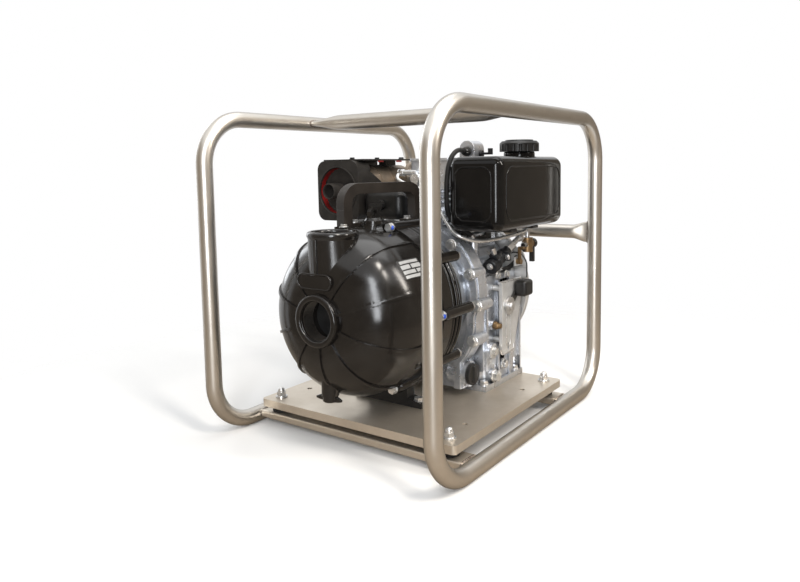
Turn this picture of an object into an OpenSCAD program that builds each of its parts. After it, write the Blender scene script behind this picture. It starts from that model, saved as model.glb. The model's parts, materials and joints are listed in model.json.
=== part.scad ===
// Two inch self-priming chemical transfer pump, close coupled to a small air-cooled diesel
// engine, on rubber mounts in a tubular stainless roll frame.
// Millimetres. Z is up, Y runs along the shaft from the suction port to the recoil starter,
// X runs from the muffler side to the fuel tank side. The origin is on the floor, under the
// middle of the roll frame.

/* [Roll frame] */
// Overall width of the roll frame, X
frame_w = 439; // [432:1:470]
// Overall length of the roll frame, Y
frame_l = 566.6; // [560:1:640]
// Overall height of the roll frame, Z
frame_h = 513.4; // [505:1:600]
// Outside diameter of the frame tube
tube_d = 25.4; // [24:0.1:27]
// Wall of the frame tube
tube_wall = 1.6; // [1.2:0.1:3]
// Centreline radius of the hoop bends
bend_r = 73; // [50:1:90]
// Place of the lifting bar along the frame
lift_bar_y = -30; // [-60:1:0]
// Height of the rear bar's centreline
rear_bar_z = 297; // [250:1:330]
// Width of the flattened bar ends
flat_w = 38; // [32:1:44]
// Thickness of the flattened bar ends
flat_t = 10; // [8:0.5:14]

/* [Base] */
// Width of the flat cross members
cross_w = 38; // [30:1:45]
// Thickness of the flat cross members
cross_t = 12; // [8:1:14]
// Underside of the cross members above the floor
cross_z = 10; // [6:1:13]
// Base plate width, X
plate_w = 375.6; // [360:1:380]
// Front edge of the base plate
plate_y0 = -191.3; // [-200:1:-188]
// Rear edge of the base plate
plate_y1 = 165.3; // [160:1:175]
// Thickness of the base plate sheet
plate_t = 3; // [2:0.5:4]
// Depth of the folded plate edges
plate_lip = 12.5; // [8:0.5:16]
// Height of the rubber mounts
rubber_h = 19.5; // [15:0.5:22]
// Diameter of the rubber mounts
rubber_d = 30; // [24:1:34]
// Inset of the mount studs from the plate's edges, X
stud_inset = 23; // [20:0.5:28]
// Front mount studs, Y
stud_y0 = -168.3; // [-170:1:-164]
// Rear mount studs, Y
stud_y1 = 141.6; // [138:1:146]
// Stud diameter
stud_d = 8; // [6:1:10]

/* [Pump] */
// Height of the shaft above the base plate
shaft_h = 162.5; // [160:0.5:175]
// Outer radius of the pump body
body_r = 126.3; // [122:0.5:130]
// Radius of the dome's rounded edge
dome_arc = 78; // [60:1:85]
// Front plane of the dome
dome_y = -248.6; // [-252:0.5:-246]
// Joint plane between the front and rear casing
joint_y = -114; // [-118:1:-110]
// Wall of the moulded casings
casing_wall = 6; // [5:0.5:7]
// Minor diameter of the two inch pipe threads
port_d = 56.7; // [50:0.1:58]
// Outside diameter of the suction port ring
ring_d = 75.5; // [72:0.5:80]
// Face of the suction port
port_y = -257; // [-262:0.5:-253]
// Length of the suction port thread
port_len = 35; // [30:1:40]
// Centre of the discharge tower, Y
tower_y = -214; // [-216:1:-212]
// Radius of the discharge tower
tower_r = 36; // [34:0.5:38]
// Height of the tower's mouth above the shaft
tower_h = 123; // [120:1:130]
// Number of ribs and of casing bolts
bolt_n = 10; // [8:1:12]
// Bolt circle radius of the casing
bolt_r = 131; // [130:0.5:134]
// Casing bolt diameter
bolt_d = 8; // [6:1:10]
// Rib height on the dome
rib_h = 2.6; // [1.5:0.1:4]
// Impeller diameter
impeller_d = 116; // [100:1:124]
// Number of impeller vanes
vane_n = 5; // [3:1:7]
// Pump shaft diameter
shaft_d = 22; // [18:1:24]

/* [Carry handle] */
// Front foot of the carry handle, Y
handle_y0 = -168; // [-172:1:-160]
// Rear foot of the carry handle, Y
handle_y1 = -24; // [-34:1:-22]
// Top of the carry handle above the shaft
handle_top = 191; // [180:1:200]
// Front foot of the carry handle, X
handle_x0 = -17; // [-20:1:-12]
// Rear foot of the carry handle, X
handle_x1 = 11; // [2:1:14]
// Width of the handle's strap
handle_w = 18; // [14:1:22]
// Thickness of the handle's strap
handle_t = 16; // [12:1:18]

/* [Engine] */
// Front face of the gear cover
cover_y = -12; // [-14:1:-10]
// Front face of the crankcase
case_y0 = 14; // [12:1:18]
// Rear face of the crankcase
case_y1 = 165; // [160:1:168]
// Right wall of the crankcase
case_x1 = 112; // [108:1:114]
// Left wall of the crankcase
case_x0 = -104; // [-110:1:-100]
// Height of the cylinder's foot above the shaft
deck_h = 96; // [90:1:100]
// Height of the head gasket above the shaft
gasket_h = 146; // [140:1:150]
// Height of the rocker cover's foot above the shaft
head_h = 224; // [218:1:226]
// Half width of the finned cylinder
fin_x = 54; // [50:1:56]
// Front of the finned cylinder
fin_y0 = 26; // [24:1:30]
// Rear of the finned cylinder
fin_y1 = 138; // [130:1:144]
// Fin pitch
fin_pitch = 9; // [7:0.5:12]
// Fin thickness
fin_t = 3; // [2:0.5:4]
// Fan housing radius
fan_r = 118; // [112:1:120]
// Rear face of the fan housing
fan_y1 = 218; // [214:1:222]
// Rear face of the recoil cover
recoil_y1 = 246; // [242:1:250]

/* [Fuel tank] */
// Left side of the tank
tank_x0 = 73; // [72:1:80]
// Right side of the tank
tank_x1 = 169; // [162:1:176]
// Front of the tank
tank_y0 = -24; // [-28:1:-16]
// Rear of the tank
tank_y1 = 217; // [212:1:222]
// Underside of the tank
tank_z0 = 318; // [316:1:322]
// Top of the tank
tank_z1 = 436; // [430:1:440]
// Rounding of the tank's corners
tank_round = 17; // [12:1:22]
// Wall of the tank
tank_wall = 5; // [5:0.5:6]
// Fuel cap radius
cap_r = 34; // [30:1:36]

/* [Muffler] */
// Centre of the muffler, X
muffler_x = -138; // [-140:1:-136]
// Centre of the muffler, Z
muffler_z = 382; // [380:1:386]
// Muffler radius
muffler_r = 44; // [40:1:46]
// Outside diameter of the exhaust outlet
outlet_d = 27; // [24:1:30]
// Sheet thickness of the muffler
sheet_t = 1.6; // [1.2:0.1:2.5]
// How far the tail pipe stands out of the guard
outlet_out = 24; // [15:1:36]
// Front face of the muffler guard
guard_y = -45; // [-48:1:-42]

/* [Fits] */
// Radial clearance of shafts that turn in bores
run_gap = 0.06; // [0.03:0.01:0.1]
// Radial clearance round bolts and screws
bolt_gap = 0.3; // [0.2:0.1:0.6]
// Clearance between moving faces
face_gap = 0.3; // [0.2:0.1:0.6]

/* [Hidden] */
$fn = 48;
// Rounding used inside hulls
hull_fn = 32;
tube_r = tube_d / 2;
hoop_x = (frame_w - tube_d) / 2;
hoop_y = (frame_l - tube_d) / 2;
hoop_z0 = tube_r;
hoop_z1 = frame_h - tube_r;
cross_top = cross_z + cross_t;
plate_top = cross_top + rubber_h + plate_t;
stud_x = plate_w / 2 - stud_inset;
axis_z = plate_top + shaft_h;
// Outer radius of the casing flanges
flange_r = body_r + 5;
flange_t = 12;
// Rear end of the rear casing
rear_y = joint_y + 52;
lug_r = 9;
// Step between a flange's lug and the rest of it
lug_step = 0.4;
lug_end = -54;
lug_front = joint_y - flange_t - 3;
washer_r = 7.2;
// Cord radius and middle radius of the casing seal
seal_r = 2.5;
seal_mid = body_r - 3.3;
seat_y = port_y + port_len;
flap_t = 5;
flap_r = port_d / 2 + 4;
hinge_z = axis_z + flap_r + 3;
hinge_y = seat_y + face_gap + flap_t / 2 + 1;
tower_z = axis_z + tower_h;
impeller_r = impeller_d / 2;
volute_y0 = -150;
volute_y1 = joint_y + 10;
volute_t = 4;
shaft_r = shaft_d / 2;
adapter_y0 = rear_y;
plug_x = 18;
plug_y = -143;
plug_z = axis_z + body_r + 4;
plug_r = 15;
drain_x = -6;
drain_y = -222;
drain_z = axis_z - 116;
deck_z = axis_z + deck_h;
gasket_z = axis_z + gasket_h;
rocker_z = axis_z + head_h;
fin_mid_y = (fin_y0 + fin_y1) / 2;
fan_z = axis_z - 7;
journal_r = 15;
cap_x = 118;
cap_y = 142;
neck_h = 9;
reel_r = 45;
reel_y0 = fan_y1 + 6;
reel_y1 = recoil_y1 - 6;
// Shaft position of the starter rope
rope_y = (reel_y0 + reel_y1) / 2;
grip_x = -98;
grip_z = axis_z + reel_r;
// Half length of the starter grip between its round ends
grip_half = 22;
filler_x = 94;
filler_y = 11;
filler_z = axis_z - 128;
head_x = 40;
exhaust_z = gasket_z + 52;
injector_x = -10;
injector_z = gasket_z + 48;
hump_x = 40;
hump_r = 15;
hump_h = 20;
intake_x = -24;
intake_z = gasket_z + 18;
head_y0 = fin_y0 + 10;
head_y1 = fin_y1 - 6;
panel_x = 122;
lever_y = 93;
lever_z = axis_z - 25;
// Seat of the handle's feet, on top of the casing and of the adapter
seat_z = axis_z + body_r;
handle_run = norm([handle_x1 - handle_x0, handle_y1 - handle_y0]);
handle_turn = atan2(handle_y1 - handle_y0, handle_x1 - handle_x0);
// Distance of the handle's screws from its feet, and the thickness of its tabs
handle_tab = 18;
tab_t = 5;
pump_x = 110;
pump_tilt = 21.5;

// Bolts of the pump's foot and of the engine's feet
foot_x = 54;
foot_y = -84;
foot_bolts_at = [[case_x0 + 4, 44], [case_x0 + 4, 150], [case_x1 - 9, 40], [case_x1 - 9, 150]];
// Depth of the gear cover below the shaft
plate_clear = shaft_h - 12;
// Bolts of the gear cover, X and Z from the shaft
cover_bolts_at = [
    [107, 42], [120, -8], [112, -66], [73, 88], [30, 117], [-30, 112], [-78, 84], [-108, 36],
    [-112, -20], [-92, -62]
];
// Box of the muffler guard
guard_x0 = muffler_x - 46;
guard_x1 = muffler_x + 46;
guard_z0 = muffler_z - 52;
guard_z1 = muffler_z + 52;
// Box of the air cleaner, and the joint between its cover and case
air_x0 = -90;
air_x1 = -12;
air_mid_x = (air_x0 + air_x1) / 2;
air_y0 = -35;
air_split = air_y0 + 30;
air_y1 = fin_y0 - 3;
air_z0 = axis_z + 128;
air_z1 = axis_z + 175;
air_mid_z = (air_z0 + air_z1) / 2;
// Fuel cock under the rear of the tank
cock_x = 112;
cock_y = 192;
cock_z = 279;
spout_y = 186;
// Pivot of the stop lever
stop_y = 126;
stop_z = axis_z + 48;

// Outlet of the injection pump, 118 along its axis
pump_y = 50;
pump_z = axis_z + 45;
pipe_end = [pump_x, pump_y + 118 * cos(pump_tilt), pump_z + 118 * sin(pump_tilt)];

// Route of the injector pipe, from the injector to the injection pump
pipe_route = [
    [-38, 14, 412], [-43, 13, 411.5], [-46, 8, 408], [-42, 2, 401], [-28, 2, 394], [0, 6, 384],
    [24, 6, 367], [46, -1, 346], [60, -4, 330], [73, -6, 316], [84, -5, 309], [98, 8, 302],
    [108, 28, 299], [114, 60, 299], [117, 110, 301], [119, 150, 304], [118.5, 163, 305.5],
    [115, 169.5, 304.5], [111, 169.5, 301], [110, 165, 297.2], pipe_end
];
// Route of the return hose, from the rocker cover down to the crankcase
hose_route = [
    [42, 85.9, 447], [42, 80, 447], [47, 62, 449], [57, 32, 446], [64, 6, 436], [67.5, -9, 420],
    [68, -15, 398], [68, -16, 372], [67, -12, 350], [66, 2, 334], [69, 16, 321], [77, 33, 311],
    [84, 40, 303], [84, 40, 296.1]
];
// Route of the fuel hose, from the fuel cock to the injection pump
fuel_route = [
    [112, 175.9, 279], [112, 171, 278], [112, 165, 271], [111, 150, 258], [109, 134, 248], [107, 116, 243],
    [106, 100, 243], [106, 88, 246], [107, 80, 250]
];

// Turns local z to run along the shaft, from the plane y
module along_shaft(y = 0, x = 0, z = axis_z) {
    translate([x, y, z]) rotate([-90, 0, 0]) children();
}

// Turns local z to run along +X, from the plane x
module along_x(x, y, z) {
    translate([x, y, z]) rotate([0, 90, 0]) children();
}

// A rod along the shaft direction
module rod_y(y0, y1, r, x = 0, z = axis_z) {
    along_shaft(y0, x, z) cylinder(r = r, h = y1 - y0);
}

// A rod along X
module rod_x(x0, x1, r, y, z) {
    along_x(x0, y, z) cylinder(r = r, h = x1 - x0);
}

// A block between two corners
module block(a, b) {
    translate(a) cube(b - a);
}

// A flat outline with round corners, between two corners
module round_rect(a, b, r) {
    translate([a[0] + r, a[1]]) square([b[0] - a[0] - 2 * r, b[1] - a[1]]);
    translate([a[0], a[1] + r]) square([b[0] - a[0], b[1] - a[1] - 2 * r]);
    for (x = [a[0] + r, b[0] - r], y = [a[1] + r, b[1] - r]) translate([x, y]) circle(r = r);
}

// A block with upright edges rounded
module round_block(a, b, r) {
    translate([0, 0, a[2]]) linear_extrude(b[2] - a[2]) round_rect([a[0], a[1]], [b[0], b[1]], r);
}

// A block with every edge rounded
module soft_block(a, b, r) {
    hull() for (x = [a[0] + r, b[0] - r], y = [a[1] + r, b[1] - r], z = [a[2] + r, b[2] - r])
        translate([x, y, z]) sphere(r = r, $fn = hull_fn);
}

// A hexagon across flats
module hex(af, h) {
    cylinder(r = af / sqrt(3), h = h, $fn = 6);
}

// A flanged bolt head that sits on the plane z = 0
module bolt_head(d) {
    cylinder(r = d * 1.05, h = d * 0.2);
    translate([0, 0, d * 0.2]) hex(d * 1.6, d * 0.6);
}

function cross3(a, b) = [
    a[1] * b[2] - a[2] * b[1], a[2] * b[0] - a[0] * b[2], a[0] * b[1] - a[1] * b[0]
];
function unit(v) = v / norm(v);
function mixed(a, b, t) = a * (1 - t) + b * t;

// A smooth point on a route between its points i and i + 1
function bent(p, i, t) =
    let (a = p[max(i - 1, 0)], b = p[i], c = p[i + 1], d = p[min(i + 2, len(p) - 1)])
    0.5 * ((2 * b) + (c - a) * t + (2 * a - 5 * b + 4 * c - d) * t * t
        + (3 * b - a - 3 * c + d) * t * t * t);
function smooth(p, n) = [
    for (i = [0:len(p) - 2], k = [0:n - 1]) bent(p, i, k / n), p[len(p) - 1]
];
function heading(p, i) = unit(p[min(i + 1, len(p) - 1)] - p[max(i - 1, 0)]);
// A side direction carried along the route without twist
function carried(p, i) = i == 0
    ? unit(cross3(heading(p, 0), [0.31, 0.17, 0.93]))
    : let (h = heading(p, i), s = carried(p, i - 1)) unit(s - h * (s * h));

// A round tube or rod swept along a route
module swept(route, r, sides = 8, steps = 2) {
    p = smooth(route, steps);
    n = len(p);
    rings = [for (i = [0:n - 1]) let (s = carried(p, i), u = cross3(heading(p, i), s))
        for (k = [0:sides - 1]) p[i] + r * (cos(360 * k / sides) * s + sin(360 * k / sides) * u)];
    walls = [for (i = [0:n - 2], k = [0:sides - 1])
        let (a = i * sides + k, b = i * sides + (k + 1) % sides)
        each [[a, b, b + sides], [a, b + sides, a + sides]]];
    last = (n - 1) * sides;
    near_end = [for (k = [1:sides - 2]) [0, k + 1, k]];
    far_end = [for (k = [1:sides - 2]) [last, last + k, last + k + 1]];
    polyhedron(points = rings, faces = concat(walls, near_end, far_end));
}

// One closed hoop of tube in an upright plane, with the given tube radius
module hoop_solid(r) {
    reach_y = hoop_y - bend_r;
    reach_z0 = hoop_z0 + bend_r;
    reach_z1 = hoop_z1 - bend_r;
    for (z = [hoop_z0, hoop_z1]) rod_y(-reach_y, reach_y, r, 0, z);
    for (y = [-hoop_y, hoop_y]) translate([0, y, reach_z0]) cylinder(r = r, h = reach_z1 - reach_z0);
    corners = [
        [reach_y, reach_z1, 0], [-reach_y, reach_z1, 90], [-reach_y, reach_z0, 180], [reach_y, reach_z0, 270]
    ];
    for (c = corners) translate([0, c[0], c[1]]) rotate([90, 0, 90]) rotate([0, 0, c[2]])
        rotate_extrude(angle = 90) translate([bend_r, 0]) circle(r = r);
}

module hoop(x) {
    translate([x, 0, 0]) difference() {
        hoop_solid(tube_r);
        hoop_solid(tube_r - tube_wall);
    }
}

module left_hoop() {
    color("silver") hoop(-hoop_x);
}

module right_hoop() {
    color("silver") hoop(hoop_x);
}

// The outside of a hoop's straight run, used to cope what is welded to it
module hoop_run_y(x, z) {
    rod_y(-hoop_y, hoop_y, tube_r, x, z);
}

// A tube along X whose ends are flattened to a wide, thin section, flat in local z
module flat_end_bar(taper) {
    grip = hoop_x - taper;
    rod_x(-grip, grip, tube_r, 0, 0);
    for (s = [-1, 1]) hull() {
        translate([s * grip, 0, 0]) rotate([0, 90, 0])
            cylinder(r = tube_r, h = 0.5, center = true, $fn = hull_fn);
        for (y = [-1, 1]) translate([s * (hoop_x - 6), y * (flat_w - flat_t) / 2, 0]) rotate([0, 90, 0])
            cylinder(r = flat_t / 2, h = 12, center = true, $fn = hull_fn);
    }
}

module lifting_bar() {
    color("silver") difference() {
        translate([0, lift_bar_y, hoop_z1]) flat_end_bar(66);
        for (x = [-hoop_x, hoop_x]) hoop_run_y(x, hoop_z1);
    }
}

module rear_bar() {
    color("silver") difference() {
        translate([0, hoop_y, rear_bar_z]) rotate([90, 0, 0]) flat_end_bar(42);
        for (x = [-hoop_x, hoop_x]) translate([x, hoop_y, hoop_z0]) cylinder(r = tube_r, h = hoop_z1);
    }
}

module cross_member(y) {
    color("silver") difference() {
        translate([-hoop_x, 0, 0]) rotate([90, 0, 90]) linear_extrude(2 * hoop_x)
            round_rect([y - cross_w / 2, cross_z], [y + cross_w / 2, cross_top], 3);
        for (x = [-hoop_x, hoop_x]) hoop_run_y(x, hoop_z0);
        stud_holes(cross_z - 1, cross_t + 2);
    }
}

// Clearance holes for the four mount studs
module stud_holes(z, h) {
    for (x = [-stud_x, stud_x], y = [stud_y0, stud_y1])
        translate([x, y, z]) cylinder(r = stud_d / 2 + bolt_gap, h = h);
}

module base_plate() {
    side = plate_w / 2;
    color("tan") difference() {
        round_block([-side, plate_y0, plate_top - plate_lip], [side, plate_y1, plate_top], 7);
        round_block([-side + plate_t, plate_y0 + plate_t, plate_top - plate_lip - 1],
            [side - plate_t, plate_y1 - plate_t, plate_top - plate_t], 4);
        stud_holes(plate_top - plate_t - 1, plate_t + 2);
        for (x = [-155.4, 155.4], y = [-110.8, 76.8])
            translate([x, y, plate_top - plate_t - 1]) cylinder(r = 4.5, h = plate_t + 2);
    }
}

module rubber_mounts() {
    waist = rubber_d / 2 - 2;
    places = [for (x = [-stud_x, stud_x], y = [stud_y0, stud_y1]) [x, y, cross_top]];
    color("dimgray") for (place = places) translate(place) difference() {
        union() {
            cylinder(r = waist, h = rubber_h);
            for (z = [0, rubber_h - 4]) translate([0, 0, z]) cylinder(r = rubber_d / 2, h = 4);
        }
        translate([0, 0, -1]) cylinder(r = stud_d / 2 + bolt_gap, h = rubber_h + 2);
    }
}

// A stud with a washer and dome nut above the plate, and a head under the cross member
module mount_bolts() {
    below = 3.5;
    color("lightgray") for (x = [-stud_x, stud_x], y = [stud_y0, stud_y1]) translate([x, y, 0]) {
        translate([0, 0, cross_z]) cylinder(r = stud_d / 2, h = plate_top - cross_z + 4);
        translate([0, 0, cross_z - below]) hex(13, below);
        translate([0, 0, plate_top]) cylinder(r = 10, h = 2);
        translate([0, 0, plate_top + 2]) hex(13, 7);
        translate([0, 0, plate_top + 9]) cylinder(r = 5.8, h = 2);
        translate([0, 0, plate_top + 11]) sphere(r = 5.6);
    }
}

// Half section of the pump body, radius in x and shaft position in y, set in by a wall
module body_section(inset, y1) {
    r = body_r - inset;
    arc = dome_arc - inset;
    y0 = dome_y + inset;
    square_y = dome_y + dome_arc;
    intersection() {
        union() {
            translate([0, y0]) square([body_r - dome_arc, y1 - y0]);
            translate([0, square_y]) square([r, y1 - square_y]);
            translate([body_r - dome_arc, square_y]) circle(r = arc);
        }
        translate([0, y0 - 1]) square([body_r + 20, y1 - y0 + 1]);
    }
}

module body_turned(inset, y1) {
    along_shaft() rotate_extrude() body_section(inset, y1);
}

// A ring of circles at the casing bolts
module lug_circles(r) {
    for (k = [0:bolt_n - 1]) rotate(k * 360 / bolt_n) translate([bolt_r, 0]) circle(r = r);
}

// Casing flange with its bolt lugs and holes, from the plane y
module joint_flange(y) {
    along_shaft(y) linear_extrude(flange_t) difference() {
        union() {
            circle(r = flange_r);
            lug_circles(lug_r);
        }
        lug_circles(bolt_d / 2 + bolt_gap);
    }
}

// Rods round the casing joint, at its bolts
module lugs(y0, y1, r = lug_r) {
    for (k = [0:bolt_n - 1]) rotate([0, -k * 360 / bolt_n, 0]) rod_y(y0, y1, r, bolt_r, 0);
}

module bolt_holes(y0, y1) {
    translate([0, 0, axis_z]) lugs(y0, y1, bolt_d / 2 + bolt_gap);
}

// Radial ribs that run from the port ring back over the dome
module dome_ribs() {
    intersection() {
        body_turned(-rib_h, joint_y - flange_t);
        translate([0, 0, axis_z]) for (k = [0:bolt_n - 1], a = [(k + 0.5) * 360 / bolt_n])
            if (abs(a - 90) > 5) rotate([0, -a, 0])
                block([ring_d / 2 - 2, dome_y - rib_h - 1, -2],
                    [flange_r + 2, abs(a - 270) < 5 ? drain_y : joint_y, 2]);
    }
}

module front_casing() {
    color("#1c1c1e") difference() {
        union() {
            body_turned(0, joint_y - 2);
            dome_ribs();
            joint_flange(joint_y - flange_t);
            translate([0, 0, axis_z]) lugs(lug_front, joint_y - 2, lug_r - lug_step);
            rod_y(port_y, dome_y + casing_wall, ring_d / 2);
            translate([0, tower_y, axis_z + 44]) cylinder(r = tower_r, h = tower_h - 44);
            tower_pads();
            translate([drain_x, drain_y, drain_z]) cylinder(r = 13, h = 28);
        }
        difference() {
            body_turned(casing_wall, joint_y + 1);
            rod_y(dome_y, seat_y, ring_d / 2);
            translate([0, tower_y, tower_z - port_len]) cylinder(r = tower_r, h = port_len);
            hinge_ears();
            translate([plug_x, plug_y, plug_z - 22]) cylinder(r = plug_r + 5, h = 22);
        }
        rod_y(port_y - 1, seat_y + 1, port_d / 2);
        rod_x(-20, 20, 3 + run_gap, hinge_y, hinge_z);
        along_shaft(port_y) translate([0, 0, -0.01]) cylinder(r1 = port_d / 2 + 3, r2 = port_d / 2, h = 3);
        translate([0, tower_y, tower_z - port_len - 1]) cylinder(r = port_d / 2, h = port_len + 2);
        translate([0, tower_y, tower_z - 2]) cylinder(r1 = port_d / 2, r2 = port_d / 2 + 2, h = 2.01);
        translate([0, tower_y, tower_z]) cylinder(r = tower_r - 2, h = 20);
        bolt_holes(joint_y - flange_t - 4, joint_y + 1);
        translate([0, 0, axis_z]) lugs(joint_y - flange_t - 30, lug_front, washer_r + 0.8);
        translate([plug_x, plug_y, plug_z - 24]) cylinder(r = plug_r - 4 + run_gap, h = 30);
        translate([drain_x, drain_y, drain_z - 1]) cylinder(r = 8 + run_gap, h = 40);
        translate([drain_x, drain_y, drain_z - 12]) cylinder(r = 13, h = 12);
        on_handle_line(handle_tab, seat_z - 14) cylinder(r = 3 + bolt_gap, h = 30);
    }
}

// Round pads on top of the casing for the priming plug and the handle's front foot
module tower_pads() {
    translate([plug_x, plug_y, axis_z + body_r - 14]) cylinder(r = plug_r + 5, h = 18);
    translate([0, 0, axis_z + body_r - 14]) linear_extrude(14)
        polygon([
            [-30, handle_y0 - 9], [-30, handle_y0 + 22], [-12, handle_y0 + 34], [plug_x, handle_y0 + 34],
            [plug_x, handle_y0 - 9]
        ]);
    along_shaft(dome_y - 2) translate([-5, -55, 0]) linear_extrude(20) round_rect([-31, -9], [31, 12], 9);
}

// Two ears that carry the pin of the check valve flap
module hinge_ears() {
    for (s = [-1, 1]) block([s * 16 - 3, seat_y, hinge_z - 4.5], [s * 16 + 3, seat_y + 10, hinge_z + 7]);
}

// Square groove for the casing seal, in the rear casing's joint face
module seal_groove() {
    side = 2 * (seal_r + run_gap);
    along_shaft(joint_y - 1) rotate_extrude() translate([seal_mid - side / 2, 0]) square([side, side + 1]);
}

module casing_seal() {
    color("#222222") along_shaft(joint_y + seal_r) rotate_extrude()
        translate([seal_mid, 0]) circle(r = seal_r);
}

// Rear half of the pump body, with ring ribs, bolt lugs and webs
module rear_casing() {
    color("#18181a") difference() {
        union() {
            joint_flange(joint_y);
            rod_y(joint_y + 2, -80, body_r);
            for (y = [joint_y + 17, joint_y + 26]) rod_y(y, y + 4, body_r + 3);
            along_shaft(-80) cylinder(r1 = body_r, r2 = 84, h = rear_y + 80);
            translate([0, 0, axis_z]) lugs(joint_y + 2, lug_end, lug_r - lug_step);
            translate([0, 0, axis_z]) for (k = [0:bolt_n - 1]) rotate([0, -(k + 0.5) * 360 / bolt_n, 0])
                block([84, -80, -3], [body_r - 1, -66, 3]);
        }
        rod_y(joint_y - 1, -80 - casing_wall, body_r - casing_wall - 6);
        rod_y(joint_y - 1, rear_y + 1, 30 + face_gap);
        bolt_holes(joint_y - 1, lug_end + 1);
        for (a = [45:90:315]) translate([0, 0, axis_z]) rotate([0, a, 0])
            rod_y(-90, rear_y + 1, 4, 66, 0);
        seal_groove();
    }
}

// Bolts with washers in front and nuts behind
module casing_bolts() {
    color("silver") translate([0, 0, axis_z]) for (k = [0:bolt_n - 1]) rotate([0, -k * 360 / bolt_n, 0]) {
        rod_y(lug_front, lug_end + 3, bolt_d / 2, bolt_r, 0);
        rod_y(lug_front - 1.6, lug_front, washer_r, bolt_r, 0);
        translate([bolt_r, lug_front - 8, 0]) rotate([-90, 0, 0]) hex(12, 6.4);
        translate([bolt_r, lug_end, 0]) rotate([-90, 0, 0]) hex(13, 6);
    }
}

// Radius of the volute's spiral wall at an angle
function volute_r(a) = impeller_r + 5 + 17 * a / 360;
function spiral(grow) = [for (a = [0:15:345]) (volute_r(a) + grow) * [cos(a), sin(a)]];

module volute() {
    color("#2a2a2c") difference() {
        union() {
            along_shaft(volute_y0) linear_extrude(volute_y1 - volute_y0) union() {
                polygon(spiral(volute_t));
                translate([impeller_r - 4, -46]) square([30, 46]);
            }
            rod_y(volute_y1, -80 - casing_wall, 60);
        }
        along_shaft(volute_y0 + volute_t) linear_extrude(volute_y1 - volute_y0 - 2 * volute_t) union() {
            polygon(spiral(0));
            translate([impeller_r, -60]) square([20, 60]);
        }
        rod_y(volute_y0 - 1, volute_y0 + volute_t + 1, 26);
        rod_y(volute_y1 - volute_t - 1, -70, 31);
    }
}

// A curved vane between two radii, swept back by an angle
function vane_side(r0, r1, back, t) = [for (k = [0:8]) let (r = r0 + (r1 - r0) * k / 8, a = back * k / 8)
    r * [cos(a), sin(a)] + t * [-sin(a + 40), cos(a + 40)]];
function turned_back(p) = [for (i = [len(p) - 1:-1:0]) p[i]];
function vane_outline(r, t) = concat(vane_side(14, r, 70, -t), turned_back(vane_side(14, r, 70, t)));

module impeller() {
    y0 = volute_y0 + volute_t + 4;
    y1 = volute_y1 - volute_t - 4;
    color("#303236") difference() {
        union() {
            rod_y(y1 - 5, y1, impeller_r);
            rod_y(y0 + 4, y1, 16);
            for (k = [0:vane_n - 1]) along_shaft(y0) rotate([0, 0, k * 360 / vane_n])
                linear_extrude(y1 - y0 - 4) polygon(vane_outline(impeller_r - 1, 1.8));
        }
        rod_y(y0 - 1, y1 + 1, shaft_r - 3);
    }
}

// Fixed seat of the shaft seal, pressed into the rear casing
module seal_seat() {
    color("ivory") difference() {
        rod_y(-84, -74, 30);
        rod_y(-85, -73, shaft_r + 2);
    }
}

// Turning half of the shaft seal, with its bellows
module seal_head() {
    color("#3a3a3a") difference() {
        union() {
            rod_y(-97, -84 - face_gap / 3, 17);
            rod_y(-102, -97, 19);
        }
        rod_y(-103, -83, shaft_r + run_gap);
    }
}

module check_valve() {
    color("#202020") {
        difference() {
            rod_y(seat_y + face_gap, seat_y + face_gap + flap_t, flap_r, 0, axis_z);
            for (x = [-25, 11]) block([x, seat_y, hinge_z - 8.5], [x + 14, seat_y + 10, hinge_z]);
        }
        block([-10, seat_y + face_gap, axis_z + flap_r - 6], [10, seat_y + face_gap + flap_t, hinge_z]);
        rod_x(-18.5, 18.5, 3, hinge_y, hinge_z);
    }
}

module priming_plug() {
    color("#161618") {
        translate([plug_x, plug_y, plug_z - 20]) cylinder(r = plug_r - 4, h = 20);
        translate([plug_x, plug_y, plug_z]) cylinder(r = plug_r + 1, h = 5);
        translate([plug_x, plug_y, plug_z + 5]) cylinder(r1 = plug_r - 1, r2 = plug_r - 4, h = 4);
        translate([plug_x - 3.5, plug_y, plug_z + 14]) rotate([0, 90, 0]) difference() {
            union() {
                cylinder(r = 11, h = 7);
                translate([0, -11, 0]) cube([9, 22, 7]);
            }
            translate([-1, 0, -1]) cylinder(r = 5.5, h = 9);
        }
    }
}

module drain_plug() {
    color("#161618") translate([drain_x, drain_y, drain_z]) {
        cylinder(r = 8, h = 16);
        translate([0, 0, -10]) cylinder(r = 11.5, h = 10);
        rotate([0, 0, 10]) translate([-24, -3, -10]) cube([48, 6, 4.5]);
    }
}

// Side view of the carry handle, local x along the handle and local y up
module handle_side() {
    top = axis_z + handle_top;
    difference() {
        union() {
            round_rect([-handle_t / 2, seat_z], [handle_run + handle_t / 2, top], 30);
            translate([-handle_t / 2, seat_z]) square([handle_run + handle_t, 25]);
        }
        round_rect([handle_t / 2, seat_z - 30], [handle_run - handle_t / 2, top - handle_t], 16);
    }
    tab = handle_tab + 9;
    for (t = [0, handle_run - tab]) translate([t, seat_z]) square([tab, tab_t]);
}

// Puts children at a distance along the foot line of the carry handle
module on_handle_line(t, z) {
    translate([handle_x0, handle_y0, z]) rotate([0, 0, handle_turn]) translate([t, 0, 0]) children();
}

module carry_handle() {
    color("#141414") difference() {
        on_handle_line(0, 0) translate([0, handle_w / 2, 0]) rotate([90, 0, 0])
            linear_extrude(handle_w) handle_side();
        for (t = [handle_tab, handle_run - handle_tab]) on_handle_line(t, seat_z - 1)
            cylinder(r = 3 + bolt_gap, h = tab_t + 2);
    }
}

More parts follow.
